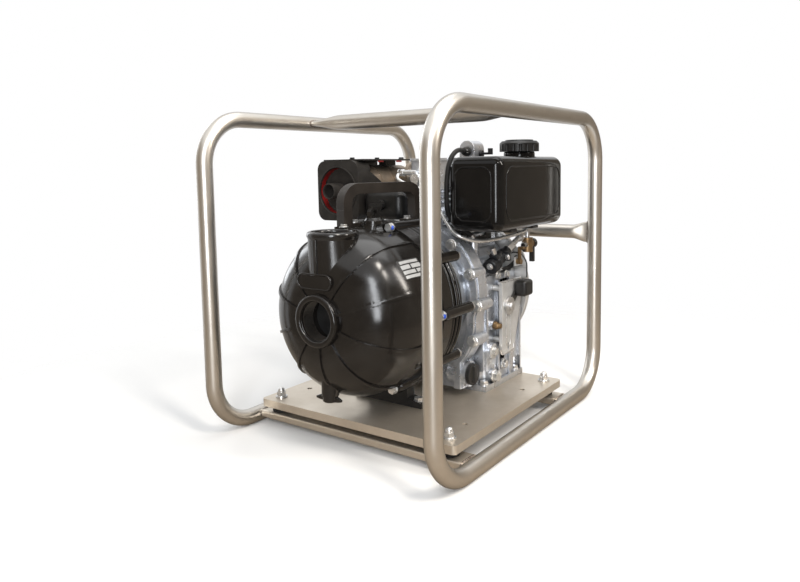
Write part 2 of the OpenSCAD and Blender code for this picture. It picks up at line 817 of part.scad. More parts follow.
// Foot between the rear casing and the base plate
module pump_foot() {
    color("#1c1c1e") difference() {
        translate([0, foot_y + 10, plate_top]) rotate([90, 0, 0]) linear_extrude(20)
            polygon([[-66, 0], [66, 0], [66, 8], [40, 14], [36, 48], [-36, 48], [-40, 14], [-66, 8]]);
        rod_y(-110, -50, body_r + 3 + face_gap);
        translate([0, 0, axis_z]) lugs(-110, -50, lug_r + face_gap);
        for (x = [-foot_x, foot_x]) translate([x, foot_y, plate_top - 1]) cylinder(r = 4 + bolt_gap, h = 20);
        for (x = [-foot_x, foot_x]) translate([x, foot_y, plate_top + 8]) cylinder(r = 10, h = 60);
    }
}

// Cast bell that carries the pump on the engine's gear cover
module engine_adapter() {
    color("lightsteelblue") difference() {
        union() {
            rod_y(adapter_y0, adapter_y0 + 8, 84);
            along_shaft(adapter_y0 + 8) cylinder(r1 = 70, r2 = 92, h = cover_y - adapter_y0 - 16);
            rod_y(cover_y - 8, cover_y, 98);
            block([handle_x1 - 16, adapter_y0 + 4, axis_z + 60], [handle_x1 + 9.5, cover_y, seat_z]);
        }
        rod_y(adapter_y0 + 7, cover_y + 1, 56);
        rod_y(adapter_y0 - 1, adapter_y0 + 8, shaft_r + 8);
        on_handle_line(handle_run - handle_tab, seat_z - 11) cylinder(r = 3 + bolt_gap, h = 20);
        for (x = [-110, 40], z = [-22, 22]) block([x, -44, axis_z + z - 12], [x + 70, -26, axis_z + z + 12]);
    }
}

// Outline of the gear cover, grown by a margin, local x = X and local y = Z above the shaft
module cover_outline(grow) {
    circle(r = 112 + grow);
    translate([8, 8]) circle(r = 112 + grow);
    translate([10, -38]) circle(r = 104 + grow);
    translate([-88 - grow, -plate_clear]) square([176 + 2 * grow, 90]);
}

// A plane figure drawn in X and Z, made solid between two shaft positions
module upright(y0, y1) {
    translate([0, y1, axis_z]) rotate([90, 0, 0]) linear_extrude(y1 - y0) children();
}

// The part of the oil filler's round boss that lies between two shaft positions
module filler_boss(y0, y1) {
    intersection() {
        rod_x(60, filler_x, 21, filler_y, filler_z);
        block([0, y0, 0], [filler_x, y1, axis_z]);
    }
}

module filler_bore() {
    rod_x(filler_x - 13, filler_x + 1, 12 + run_gap, filler_y, filler_z);
}

module gear_cover() {
    color("gainsboro") difference() {
        union() {
            upright(cover_y + 8, case_y0) cover_outline(0);
            difference() {
                upright(cover_y + 2, cover_y + 8) cover_outline(-2);
                upright(cover_y, cover_y + 8) cover_outline(-14);
            }
            rod_y(cover_y, cover_y + 8, 98);
            filler_boss(cover_y - 10, case_y0);
            for (p = cover_bolts_at) rod_y(cover_y, case_y0, 10, p[0], axis_z + p[1]);
        }
        rod_y(cover_y - 1, case_y0 + 1, 40);
        filler_bore();
        for (p = cover_bolts_at) rod_y(cover_y - 1, case_y0 + 1, 4 + bolt_gap, p[0], axis_z + p[1]);
    }
}

module crankcase() {
    foot_z = plate_top + 10;
    color("silver") difference() {
        union() {
            rod_y(case_y0, case_y1, 94);
            upright(case_y0, case_y0 + 10) cover_outline(-1);
            for (p = cover_bolts_at) rod_y(case_y0, case_y0 + 11, 9, p[0], axis_z + p[1]);
            block([case_x0, filler_y + 20, foot_z - 1], [case_x1 - 6, case_y1, axis_z + 30]);
            block([case_x0 + 8, case_y0, foot_z], [88, case_y1, axis_z]);
            block([case_x0 - 6, case_y0 + 16, plate_top], [case_x1, case_y1, foot_z]);
            block([-fin_x - 6, fin_y0 - 6, axis_z], [fin_x + 6, case_y1 - 6, deck_z]);
            for (y = [case_y0 + 24, case_y0 + 64, case_y0 + 104, case_y1 - 8])
                block([case_x1 - 8, y, foot_z], [case_x1 - 2, y + 5, axis_z + 20]);
            filler_boss(case_y0, case_y0 + 30);
            rod_x(100, case_x1, 15, 51, axis_z - 96);
            rod_x(96, case_x1 - 2, 11, 61, axis_z - 147 + 6);
            rod_x(96, case_x1 - 1, 9, 63, axis_z - 55);
            rod_x(96, case_x1 - 2, 10, 96, axis_z - 129);
            block([70, 44, axis_z + 20], [pump_x - 8, 110, axis_z + 58]);
            translate([84, 40, axis_z + 20]) cylinder(r = 8, h = 69);
        }
        rod_y(case_y0 - 1, case_y1 + 1, journal_r + run_gap);
        rod_y(case_y0 + 14, case_y1 - 14, 76);
        block([case_x0 + 16, case_y0 + 32, foot_z + 10], [86, case_y1 - 14, axis_z]);
        for (p = foot_bolts_at) translate([p[0], p[1], plate_top - 1]) cylinder(r = 4.5, h = 20);
        for (p = foot_bolts_at) translate([p[0], p[1], foot_z]) cylinder(r = 11, h = 24);
        rod_x(case_x1 - 16, case_x1 + 1, 5 + bolt_gap, 61, axis_z - 141);
        filler_bore();
        injection_pump_seat();
        for (p = cover_bolts_at) rod_y(case_y0 - 1, case_y0 + 12, 4 + bolt_gap, p[0], axis_z + p[1]);
    }
}

// The hexagon flange bolts of the gear cover, the oil strainer cover, the foot and the handle
module flange_bolts() {
    color("silver") {
        for (p = cover_bolts_at) {
            rod_y(cover_y, case_y0 + 9, 4, p[0], axis_z + p[1]);
            translate([p[0], cover_y, axis_z + p[1]]) rotate([90, 0, 0]) bolt_head(8);
        }
        for (t = [handle_tab, handle_run - handle_tab]) {
            on_handle_line(t, seat_z + tab_t) bolt_head(6);
            on_handle_line(t, seat_z - 10) cylinder(r = 3, h = tab_t + 11);
        }
        for (x = [-foot_x, foot_x]) translate([x, foot_y, plate_top + 8]) bolt_head(8);
        for (p = foot_bolts_at) translate([p[0], p[1], plate_top + 10]) bolt_head(8);
        translate([case_x1 - 2, 96, axis_z - 129]) rotate([0, 90, 0]) bolt_head(8);
    }
}

// A stack of square cooling fins round a barrel
module fin_stack(z0, z1, r, x, y0, y1) {
    translate([0, (y0 + y1) / 2, z0]) cylinder(r = r, h = z1 - z0);
    for (z = [z0 + fin_t:fin_pitch:z1 - fin_t]) round_block([-x, y0, z], [x, y1, z + fin_t], 10);
}

module cylinder_barrel() {
    color("silver") difference() {
        fin_stack(deck_z, gasket_z, 46, fin_x, fin_y0, fin_y1);
        translate([0, fin_mid_y, deck_z - 1]) cylinder(r = 35, h = gasket_h - deck_h + 2);
    }
}

module cylinder_head() {
    color("silver") difference() {
        union() {
            fin_stack(gasket_z, gasket_z + 32, 42, head_x + 8, fin_y0 + 4, fin_y1);
            round_block([-head_x, head_y0, gasket_z + 30], [head_x, head_y1, rocker_z], 6);
            for (y = [head_y0 + 14:16:head_y1 - 10])
                block([head_x - 1, y, gasket_z + 30], [head_x + 2, y + 4, rocker_z - 4]);
            rod_x(-fin_x - 8, -20, 18, fin_mid_y, exhaust_z);
            rod_y(fin_y0 + 4, head_y0 + 20, 15, intake_x, intake_z);
        }
        rod_x(-fin_x - 9, -30, 12, fin_mid_y, exhaust_z);
        rod_y(0, 60, 9.5 + bolt_gap, injector_x, injector_z);
    }
}

// Low cast cover with an arched boss for the breather at its rear right
module rocker_cover() {
    color("whitesmoke") {
        round_block([-head_x - 2, head_y0 - 2, rocker_z], [head_x + 2, head_y1 + 2, rocker_z + 5], 7);
        intersection() {
            union() {
                rod_y(95, 130, hump_r, hump_x, rocker_z + hump_h);
                block([hump_x - hump_r, 95, rocker_z + 5], [hump_x + hump_r, 130, rocker_z + hump_h]);
            }
            block([0, 90, rocker_z + 4], [90, 135, rocker_z + 60]);
        }
        rod_y(86, 95, 6, hump_x + 2, rocker_z + 16);
    }
}

module decompression_lever() {
    color("#181818") translate([hump_x + hump_r + face_gap, 116, rocker_z + 12]) {
        rotate([0, 90, 0]) cylinder(r = 6, h = 5);
        block([2, -3, -2], [22, 3, 2]);
        block([17, -4, -2], [23, 4, 9]);
    }
}

module muffler() {
    y0 = guard_y + 38;
    color("#3b3734") difference() {
        union() {
            rod_y(y0, 132, muffler_r, muffler_x, muffler_z);
            for (y = [30, 78]) rod_y(y, y + 3, muffler_r + 1.5, muffler_x, muffler_z);
            rod_x(muffler_x + 20, -fin_x - 16, 16, fin_mid_y, exhaust_z);
            along_x(-fin_x - 16, fin_mid_y, exhaust_z) cylinder(r = 26, h = 8);
        }
        rod_y(y0 + sheet_t, 132 - sheet_t, muffler_r - sheet_t, muffler_x, muffler_z);
        rod_x(muffler_x, -fin_x - 7, 12, fin_mid_y, exhaust_z);
        rod_y(y0 - 1, y0 + 10, outlet_d / 2 - 1.5, muffler_x, muffler_z);
    }
}

// Folded sheet guard: a rounded front box, a slanted side and a top plate
module muffler_guard() {
    color("#242220") difference() {
        union() {
            difference() {
                translate([0, guard_y + 34, 0]) rotate([90, 0, 0]) linear_extrude(34)
                    round_rect([guard_x0, guard_z0], [guard_x1, guard_z1], 16);
                translate([0, guard_y + 36, 0]) rotate([90, 0, 0]) linear_extrude(34)
                    round_rect([guard_x0 + 2, guard_z0 + 2], [guard_x1 - 2, guard_z1 - 2], 14);
            }
            block([guard_x0 + 6, guard_y + 10, guard_z1], [guard_x1 + 4, 118, guard_z1 + 2.5]);
            translate([guard_x1, 0, 0]) rotate([0, -90, 0]) linear_extrude(2)
                polygon([
                    [guard_z0 + 16, guard_y + 30], [guard_z1 - 16, guard_y + 30], [guard_z1 - 52, 45],
                    [guard_z0 + 16, 45]
                ]);
            block([muffler_x + 10, 60, muffler_z + muffler_r - 1], [muffler_x + 26, 90, guard_z1]);
        }
        rod_y(guard_y - 1, guard_y + 3, 41, muffler_x, muffler_z);
        rod_y(guard_y + 40, 140, muffler_r + 1.7, muffler_x, muffler_z);
    }
}

// Tail pipe with its dished trim ring in the guard's round opening
module exhaust_outlet() {
    color("firebrick") difference() {
        union() {
            rod_y(guard_y - outlet_out, guard_y - 3, outlet_d / 2, muffler_x, muffler_z);
            rod_y(guard_y - 4, guard_y + 38, outlet_d / 2 + 1, muffler_x, muffler_z);
            along_shaft(guard_y, muffler_x, muffler_z) cylinder(r = 41, h = 2);
            along_shaft(guard_y + 2, muffler_x, muffler_z) cylinder(r1 = 32, r2 = 20, h = 12);
        }
        rod_y(guard_y - outlet_out - 1, guard_y + 39, outlet_d / 2 - 1.5, muffler_x, muffler_z);
        along_shaft(guard_y - 0.01, muffler_x, muffler_z) difference() {
            cylinder(r1 = 31, r2 = 18, h = 12);
            translate([0, 0, -1]) cylinder(r = outlet_d / 2 + 1, h = 20);
        }
    }
}

module air_cleaner_case() {
    color("#1f1f20") {
        translate([0, air_y1 - 2, 0]) rotate([90, 0, 0]) linear_extrude(air_y1 - 2 - air_split)
            round_rect([air_x0, air_z0], [air_x1, air_z1], 13);
        rod_y(air_y1 - 2, fin_y0 + 4, 13, intake_x, intake_z);
    }
}

module air_cleaner_cover() {
    color("#19191a") difference() {
        hull() for (x = [air_x0 + 13, air_x1 - 13], z = [air_z0 + 13, air_z1 - 13]) {
            translate([x, air_y0 + 15, z]) sphere(r = 15, $fn = hull_fn);
            rod_y(air_split - 3, air_split, 15, x, z, $fn = hull_fn);
        }
        rod_y(air_y0 - 1, air_y0 + 20, 3 + run_gap, air_mid_x, air_mid_z);
    }
}

module air_cleaner_knob() {
    color("#101010") {
        rod_y(air_y0 - 8, air_y0 - face_gap, 9, air_mid_x, air_mid_z);
        rod_y(air_y0 - face_gap, air_y0 + 18, 3, air_mid_x, air_mid_z);
        block([air_mid_x - 13, air_y0 - 14, air_mid_z - 3], [air_mid_x + 13, air_y0 - 6, air_mid_z + 3]);
    }
}

module fuel_tank() {
    color("#101012") difference() {
        union() {
            soft_block([tank_x0, tank_y0, tank_z0], [tank_x1, tank_y1, tank_z1], tank_round);
            translate([cap_x, cap_y, tank_z1 - 4]) cylinder(r = 27, h = neck_h + 4);
            translate([cock_x, spout_y, tank_z0 - 8]) cylinder(r = 8, h = 14);
        }
        round_block([tank_x0 + tank_wall, tank_y0 + tank_wall, tank_z0 + tank_wall],
            [tank_x1 - tank_wall, tank_y1 - tank_wall, tank_z1 - tank_wall], tank_round);
        translate([cap_x, cap_y, tank_z1 - 30]) cylinder(r = 21, h = 60);
        translate([cock_x, spout_y, tank_z0 - 9]) cylinder(r = 4 + bolt_gap, h = 12);
    }
}

module tank_bracket() {
    color("#2b2b2b") {
        block([fin_x + 8, 40, tank_z0 - 4], [tank_x1 - 14, 60, tank_z0]);
        block([fin_x + 8, 120, tank_z0 - 4], [tank_x1 - 14, 140, tank_z0]);
        for (y = [40, 120]) block([fin_x + 6.2, y, axis_z + 80], [fin_x + 9.2, y + 20, tank_z0]);
        block([fin_x + 6.2, 40, axis_z + 80], [fin_x + 9.2, 140, axis_z + 92]);
    }
}

module fuel_cap() {
    base = tank_z1 + neck_h + face_gap;
    color("#121212") translate([cap_x, cap_y, base]) difference() {
        union() {
            cylinder(r = cap_r, h = 14);
            translate([0, 0, 14]) cylinder(r1 = cap_r, r2 = cap_r - 4, h = 4);
            translate([0, 0, 18]) cylinder(r = cap_r - 10, h = 2);
        }
        for (a = [0:20:340]) rotate([0, 0, a]) translate([cap_r + 1.4, 0, -1]) cylinder(r = 3.4, h = 13);
    }
}

module fuel_cock() {
    color("#9a7b4f") {
        translate([cock_x, spout_y, cock_z - 8]) cylinder(r = 4, h = tank_z0 - cock_z + 8);
        translate([cock_x, spout_y, cock_z - 14]) cylinder(r = 10, h = 26);
        rod_y(spout_y, cock_y + 8, 8, cock_x, cock_z);
        translate([cock_x, spout_y, tank_z0 - 16]) hex(17, 7);
    }
}

module cock_lever() {
    color("#141414") {
        rod_y(cock_y + 8 + face_gap, cock_y + 18, 9, cock_x, cock_z);
        block([cock_x - 4, cock_y + 10, cock_z - 34], [cock_x + 4, cock_y + 17, cock_z]);
    }
}

module fuel_hose() {
    color("#1a1a1a") swept(fuel_route, 4, 8, 3);
}

module return_hose() {
    color("#151515") swept(hose_route, 4, 8, 3);
}

// Turns local z to run along the injection pump, tilted up to the rear
module along_pump() {
    translate([pump_x, pump_y, pump_z]) rotate([-(90 - pump_tilt), 0, 0]) children();
}

module injection_pump_seat() {
    along_pump() translate([0, 0, -20]) cylinder(r = 13 + face_gap, h = 100);
}

// Plunger pump for the injector, against a pad of the crankcase
module injection_pump() {
    color("#1d1d1f") along_pump() {
        cylinder(r = 13, h = 20);
        translate([0, 0, 20]) cylinder(r = 11, h = 28);
        translate([0, 0, 48]) cylinder(r = 9, h = 16);
        translate([0, 0, 64]) hex(17, 20);
        translate([0, 0, 84]) cylinder(r1 = 6, r2 = 4, h = 34);
    }
}

module injector() {
    color("lightgray") {
        rod_y(14, head_y0 + 16, 9, injector_x, injector_z);
        translate([injector_x, 14, injector_z]) rotate([90, 0, 0]) hex(17, 8);
        rod_x(-38, injector_x, 4.5, 14, injector_z + 11);
    }
}

module injector_pipe() {
    color("lightgray") swept(pipe_route, 3, 8, 2);
}

// Speed control plate that stands on the right side of the crankcase
module control_plate() {
    color("#8d8b86") difference() {
        union() {
            translate([panel_x - 3, 0, 0]) rotate([90, 0, 90]) linear_extrude(3)
                polygon([
                    [64, axis_z + 18], [64, axis_z - 96], [72, axis_z - 106], [106, axis_z - 104],
                    [116, axis_z - 90], [138, axis_z - 20], [140, axis_z + 18]
                ]);
            block([panel_x - 3, 64, axis_z - 96], [panel_x + 3, 67, axis_z + 18]);
            for (z = [axis_z - 80, axis_z + 8]) rod_x(case_x1 - 6, panel_x - 3, 5, 71, z);
        }
        rod_x(panel_x - 10, panel_x + 4, 4 + run_gap, lever_y, lever_z);
        for (z = [-99, -92]) rod_x(panel_x - 4, panel_x + 1, 3, 92, axis_z + z);
        translate([panel_x - 4, 89, axis_z - 99]) cube([6, 6, 7]);
    }
}

module speed_lever() {
    reach_y = 33;
    reach_z = 28;
    color("silver") {
        rod_x(panel_x - 8, panel_x + face_gap, 4, lever_y, lever_z);
        rod_x(panel_x + face_gap, panel_x + 4, 15.5, lever_y, lever_z);
        rod_x(panel_x + 4, panel_x + 9, 6, lever_y, lever_z);
        translate([panel_x + 1, lever_y, lever_z]) rotate([atan2(reach_z, reach_y), 0, 0])
            translate([0, 8, -6]) cube([3, norm([reach_y, reach_z]) - 14, 12]);
        soft_block([panel_x + 0.6, lever_y + reach_y - 16, lever_z + reach_z - 14],
            [panel_x + 24, lever_y + reach_y + 16, lever_z + reach_z + 14], 6);
    }
}

module stop_lever() {
    color("#8f6d3f") {
        rod_x(panel_x + face_gap - 4, panel_x + 8, 5, stop_y, stop_z);
        block([panel_x + 3, stop_y - 4, stop_z], [panel_x + 6, stop_y + 4, stop_z + 26]);
        block([panel_x + 3, stop_y - 4, stop_z + 22], [panel_x + 14, stop_y + 4, stop_z + 26]);
    }
}

// D-shaped cowl plate that stands on the crankcase ahead of the fan housing
module cowl_plate() {
    color("lightsteelblue") difference() {
        union() {
            cowl_plate_body();
            block([panel_x - 3, stop_y - 8, stop_z - 8], [panel_x, 149, stop_z + 8]);
        }
        rod_x(panel_x - 4, panel_x + 1, 5 + run_gap, stop_y, stop_z);
        rod_y(147, 152, 6.4, 111, 257.6);
    }
}

module cowl_plate_body() {
    union() {
        upright(148, 151) {
            translate([91, 33]) square([32, 18]);
            intersection() {
                translate([105, 50]) circle(r = 20);
                translate([84, 44]) square([44, 40]);
            }
        }
        block([91, 134, axis_z + 30], [case_x1 - 6, 151, axis_z + 33]);
    }
}

module oil_filler_plug() {
    color("#151517") {
        rod_x(filler_x - 12, filler_x + 1, 12, filler_y, filler_z);
        rod_x(filler_x + face_gap, filler_x + 7, 18, filler_y, filler_z);
        block([filler_x + 6, filler_y - 4, filler_z - 14], [filler_x + 10, filler_y + 4, filler_z + 14]);
    }
}

module oil_drain_bolt() {
    color("silver") {
        rod_x(case_x1 - 14, case_x1 - 2, 5, 61, axis_z - 141);
        rod_x(case_x1 - 2, case_x1, 11, 61, axis_z - 141);
        along_x(case_x1, 61, axis_z - 141) hex(17, 8);
    }
}

module oil_strainer_cover() {
    color("silver") {
        rod_x(case_x1, case_x1 + 4, 13, 51, axis_z - 96);
        along_x(case_x1 + 4, 51, axis_z - 96) hex(12, 6);
    }
}

// Half section of the fan housing, radius in x and shaft position in y, set in by a wall
module fan_section(inset) {
    polygon([[0, case_y1 + inset], [fan_r - inset, case_y1 + inset], [fan_r - inset, case_y1 + 18],
        [fan_r - 22 - inset, fan_y1 - inset], [0, fan_y1 - inset]]);
}

// Sheet fan housing over the flywheel
module fan_housing() {
    color("#8a857c") difference() {
        union() {
            along_shaft(0, 0, fan_z) rotate_extrude() fan_section(0);
            rod_y(case_y1, case_y1 + 3, fan_r + 3, 0, fan_z);
        }
        along_shaft(0, 0, fan_z) rotate_extrude() fan_section(3);
        rod_y(case_y1 - 1, case_y1 + 4, 84);
        rod_y(fan_y1 - 15, fan_y1 + 1, 76);
    }
}

module recoil_cover() {
    color("#101010") difference() {
        union() {
            rod_y(fan_y1, fan_y1 + 3, 92);
            rod_y(fan_y1, recoil_y1 - 8, 84);
            along_shaft(recoil_y1 - 8) cylinder(r1 = 84, r2 = 74, h = 8);
            block([grip_x + face_gap + 4, rope_y - 9, grip_z - 9], [-62, rope_y + 9, grip_z + 9]);
        }
        rod_y(fan_y1 - 1, recoil_y1 - 4, 78);
        rod_x(grip_x, -50, 4, rope_y, grip_z);
        for (a = [0:30:330]) translate([0, 0, axis_z]) rotate([0, a, 0])
            block([44, recoil_y1 - 6, -4], [68, recoil_y1 + 1, 4]);
    }
    color("#101010") rod_y(reel_y0 - 2, recoil_y1 - 4, 9);
}

// Rope reel with its wound rope, on the post of the recoil cover
module starter_reel() {
    color("#30343a") difference() {
        union() {
            rod_y(reel_y0, reel_y0 + 3, reel_r + 8);
            rod_y(reel_y0, reel_y1 - face_gap, reel_r - 4);
            rod_y(reel_y1 - 3 - face_gap, reel_y1 - face_gap, reel_r + 8);
        }
        rod_y(reel_y0 - 3, reel_y1 + 1, 9 + run_gap);
    }
}

module starter_grip() {
    color("#181818") {
        rod_x(grip_x - 10, grip_x + 3.5, 6, rope_y, grip_z);
        translate([grip_x - 16, rope_y, grip_z - grip_half]) cylinder(r = 9, h = 2 * grip_half);
        for (z = [-grip_half, grip_half]) translate([grip_x - 16, rope_y, grip_z + z]) sphere(r = 9);
    }
}

module crankshaft() {
    color("gray") {
        rod_y(volute_y0 + volute_t + 8, -102, shaft_r - 3);
        rod_y(-102, cover_y - 20, shaft_r);
        rod_y(cover_y - 20, case_y1 + 8, journal_r);
        rod_y(case_y1 + 8, fan_y1 - 4, 11);
    }
}

module flywheel() {
    y0 = case_y1 + 8;
    color("dimgray") difference() {
        union() {
            rod_y(y0, y0 + 22, 94);
            rod_y(y0 + 22, y0 + 36, 36);
            translate([0, 0, axis_z]) for (k = [0:13]) rotate([0, k * 360 / 14, 0])
                block([52, y0 + 20, -2], [88, y0 + 30, 2]);
        }
        rod_y(y0 - 1, y0 + 40, 11);
    }
}

left_hoop();
right_hoop();
lifting_bar();
rear_bar();
cross_member(stud_y0);  // front_cross_member
cross_member(stud_y1);  // rear_cross_member
base_plate();
rubber_mounts();
mount_bolts();
front_casing();
rear_casing();
casing_seal();
casing_bolts();
volute();
impeller();
seal_seat();
seal_head();
check_valve();
priming_plug();
drain_plug();
carry_handle();
pump_foot();
engine_adapter();
crankcase();
gear_cover();
flange_bolts();
cylinder_barrel();  // cylinder
cylinder_head();
rocker_cover();
decompression_lever();
muffler();
muffler_guard();
exhaust_outlet();
air_cleaner_case();
air_cleaner_cover();
air_cleaner_knob();
fuel_tank();
tank_bracket();
fuel_cap();
fuel_cock();
cock_lever();
fuel_hose();
return_hose();
injection_pump();
injector();
injector_pipe();
control_plate();
speed_lever();
stop_lever();
cowl_plate();
oil_filler_plug();
oil_drain_bolt();
oil_strainer_cover();
fan_housing();
recoil_cover();
starter_reel();
starter_grip();
crankshaft();
flywheel();
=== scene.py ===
"""Dressed model of a two inch diesel chemical transfer pump in a stainless roll frame.

Each one gets a finish, and most of them a bevelled copy of their mesh. The pieces that the solids
leave plain are surfaces computed with numpy. All sizes in the classes are millimetres, in the CAD
frame: +Z up, +Y along the pump's shaft.
"""

import json
import logging
import math
from dataclasses import dataclass, field
from enum import Enum

import bmesh
import bpy
import numpy as np
from mathutils import Matrix, Vector

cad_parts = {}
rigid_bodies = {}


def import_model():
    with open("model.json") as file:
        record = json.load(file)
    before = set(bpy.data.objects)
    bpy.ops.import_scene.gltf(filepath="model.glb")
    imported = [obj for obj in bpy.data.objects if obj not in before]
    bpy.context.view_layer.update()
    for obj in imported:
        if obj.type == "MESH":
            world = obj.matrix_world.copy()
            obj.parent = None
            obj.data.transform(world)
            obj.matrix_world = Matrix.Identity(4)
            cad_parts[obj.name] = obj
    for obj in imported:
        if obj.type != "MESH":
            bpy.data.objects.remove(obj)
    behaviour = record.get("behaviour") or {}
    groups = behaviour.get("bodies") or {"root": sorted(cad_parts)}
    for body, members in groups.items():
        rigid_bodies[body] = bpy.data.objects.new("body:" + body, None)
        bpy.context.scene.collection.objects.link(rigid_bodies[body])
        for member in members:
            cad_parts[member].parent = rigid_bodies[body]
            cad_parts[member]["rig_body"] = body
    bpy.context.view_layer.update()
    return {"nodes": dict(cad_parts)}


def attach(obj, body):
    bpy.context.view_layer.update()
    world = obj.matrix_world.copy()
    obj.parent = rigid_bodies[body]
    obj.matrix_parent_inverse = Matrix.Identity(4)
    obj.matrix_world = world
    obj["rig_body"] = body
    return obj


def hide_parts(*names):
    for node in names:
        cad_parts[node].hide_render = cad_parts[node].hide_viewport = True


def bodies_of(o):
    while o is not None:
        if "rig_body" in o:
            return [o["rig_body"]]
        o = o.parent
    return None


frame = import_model()
LOG = logging.getLogger("pump")
MM = 0.001
ROOT = "engine_and_frame"
DRESS_CREASE = 30.0
Colour = tuple[float, float, float]


# Meshes


@dataclass
class Surface:
    """Points and faces of one piece, in millimetres.

    Args:
        points: array of shape (n, 3).
        faces: list of arrays of shape (k, 3) or (k, 4) with indices of points.
    """

    points: np.ndarray
    faces: list[np.ndarray]

    def joined(self, other: "Surface") -> "Surface":
        """Returns this surface and another as one."""
        shift = len(self.points)
        return Surface(np.vstack([self.points, other.points]), self.faces + [f + shift for f in other.faces])

    def placed(self, at: tuple[float, float, float], axis: str = "z", turn: float = 0.0) -> "Surface":
        """Turns local z to an axis of the frame and moves the origin.

        Args:
            at: the new place of the origin.
            axis: x, y, z, or the same with a minus sign in front.
            turn: degrees about the local z axis, made first.

        Returns:
            The turned surface.
        """
        turned = Matrix.Rotation(math.radians(turn), 3, "Z")
        steer = {
            "z": Matrix.Identity(3),
            "-z": Matrix.Rotation(math.pi, 3, "X"),
            "y": Matrix.Rotation(-math.pi / 2, 3, "X"),
            "-y": Matrix.Rotation(math.pi / 2, 3, "X"),
            "x": Matrix.Rotation(math.pi / 2, 3, "Y"),
            "-x": Matrix.Rotation(-math.pi / 2, 3, "Y"),
        }[axis]
        return Surface(self.points @ np.array(steer @ turned).T + np.array(at), self.faces)

    def moved(self, matrix: Matrix) -> "Surface":
        """Returns the surface under a 4 by 4 matrix."""
        m = np.array(matrix)
        return Surface(self.points @ m[:3, :3].T + m[:3, 3], self.faces)

    def mesh(self, name: str, scale: float = MM) -> bpy.types.Mesh:
        """Makes a mesh of the surface.

        Args:
            name: the mesh's name.
            scale: metres in one unit of its points.

        Returns:
            The new mesh.
        """
        made = bpy.data.meshes.new(name)
        faces = [face for part in self.faces for face in part.tolist()]
        made.from_pydata((self.points * scale).tolist(), [], faces)
        return made


def grid(points: np.ndarray, close_u: bool = False, close_v: bool = False) -> Surface:
    """A surface over a grid of points.

    Each cell of the grid (u, v) becomes one face. A closed direction joins its last row to the first.

    Args:
        points: array of shape (rows, columns, 3).
        close_u: joins the last row to the first.
        close_v: joins the last column to the first.

    Returns:
        The surface.
    """
    nu, nv = points.shape[:2]
    u = np.arange(nu if close_u else nu - 1)
    v = np.arange(nv if close_v else nv - 1)
    uu, vv = np.meshgrid(u, v, indexing="ij")
    u1, v1 = (uu + 1) % nu, (vv + 1) % nv
    faces = np.stack([uu * nv + vv, uu * nv + v1, u1 * nv + v1, u1 * nv + vv], -1).reshape(-1, 4)
    return Surface(points.reshape(-1, 3), [faces])


def lathe(profile: list[tuple[float, float]], segments: int = 64) -> Surface:
    """Turns a profile round local z: x = r cos a, y = r sin a, z = h.

    Args:
        profile: radius and height of each point, from one end to the other.
        segments: number of steps round.

    Returns:
        The surface, closed round, with its ends as the profile leaves them.
    """
    rh = np.array(profile, float)
    a = np.linspace(0, 2 * np.pi, segments, endpoint=False)
    pts = np.stack(
        [rh[:, :1] * np.cos(a), rh[:, :1] * np.sin(a), np.repeat(rh[:, 1:], segments, 1)], -1
    )
    return grid(pts, close_v=True)


def smooth_path(points: list[tuple[float, ...]], steps: int) -> np.ndarray:
    """A Catmull-Rom curve through points: each stretch is a cubic in t of its four nearest points.

    Args:
        points: the points that the curve passes.
        steps: new points in each stretch.

    Returns:
        Array of shape (n, 3).
    """
    p = np.array(points, float)
    q = np.vstack([2 * p[0] - p[1], p, 2 * p[-1] - p[-2]])
    t = np.linspace(0, 1, steps, endpoint=False)[None, :, None]
    a, b, c, d = (q[i : i + len(p) - 1][:, None, :] for i in range(4))
    body = 0.5 * (2 * b + (c - a) * t + (2 * a - 5 * b + 4 * c - d) * t**2 + (3 * b - a - 3 * c + d) * t**3)
    return np.vstack([body.reshape(-1, 3), p[-1:]])


def frames_along(path: np.ndarray) -> tuple[np.ndarray, np.ndarray]:
    """Two side directions at each point of a path, carried on with the least twist.

    Each side is the one before it, less its part along the new heading.

    Args:
        path: array of shape (n, 3).

    Returns:
        Two arrays of unit vectors of shape (n, 3).
    """
    heading = np.gradient(path, axis=0)
    heading /= np.linalg.norm(heading, axis=1, keepdims=True)
    guess = np.array([0.31, 0.17, 0.93])
    sides = []
    for h in heading:
        guess = guess - h * (guess @ h)
        guess = guess / np.linalg.norm(guess)
        sides.append(guess)
    side = np.array(sides)
    return side, np.cross(heading, side)


def tube(path: np.ndarray, radius: float | np.ndarray, sides: int = 16, caps: bool = True) -> Surface:
    """A round tube: p(u, v) = path(u) + r(u) (cos v side(u) + sin v up(u)).

    Args:
        path: array of shape (n, 3).
        radius: one radius, or one for each point of the path.
        sides: number of steps round.
        caps: closes both ends with a fan that meets the path's end point.

    Returns:
        The surface.
    """
    side, up = frames_along(path)
    v = np.linspace(0, 2 * np.pi, sides, endpoint=False)[None, :, None]
    r = np.broadcast_to(np.asarray(radius, float), len(path))[:, None, None]
    pts = path[:, None, :] + r * (np.cos(v) * side[:, None, :] + np.sin(v) * up[:, None, :])
    if caps:
        ends = [np.repeat(path[i][None, None, :], sides, 1) for i in (0, -1)]
        pts = np.concatenate([ends[0], pts, ends[1]])
    return grid(pts, close_v=True)


def prism(outline: np.ndarray | list[tuple[float, float]], height: float) -> Surface:
    """An outline made solid from z = 0 to a height, as two n-gons and its walls.

    Args:
        outline: its points in x and y, in order.
        height: the height.

    Returns:
        The closed surface.
    """
    flat = np.array(outline, float)
    n = len(flat)
    pts = np.vstack([np.c_[flat, np.zeros(n)], np.c_[flat, np.full(n, height)]])
    i = np.arange(n)
    j = (i + 1) % n
    walls = np.stack([i, j, j + n, i + n], -1)
    return Surface(pts, [walls, i[::-1][None, :], (i + n)[None, :]])


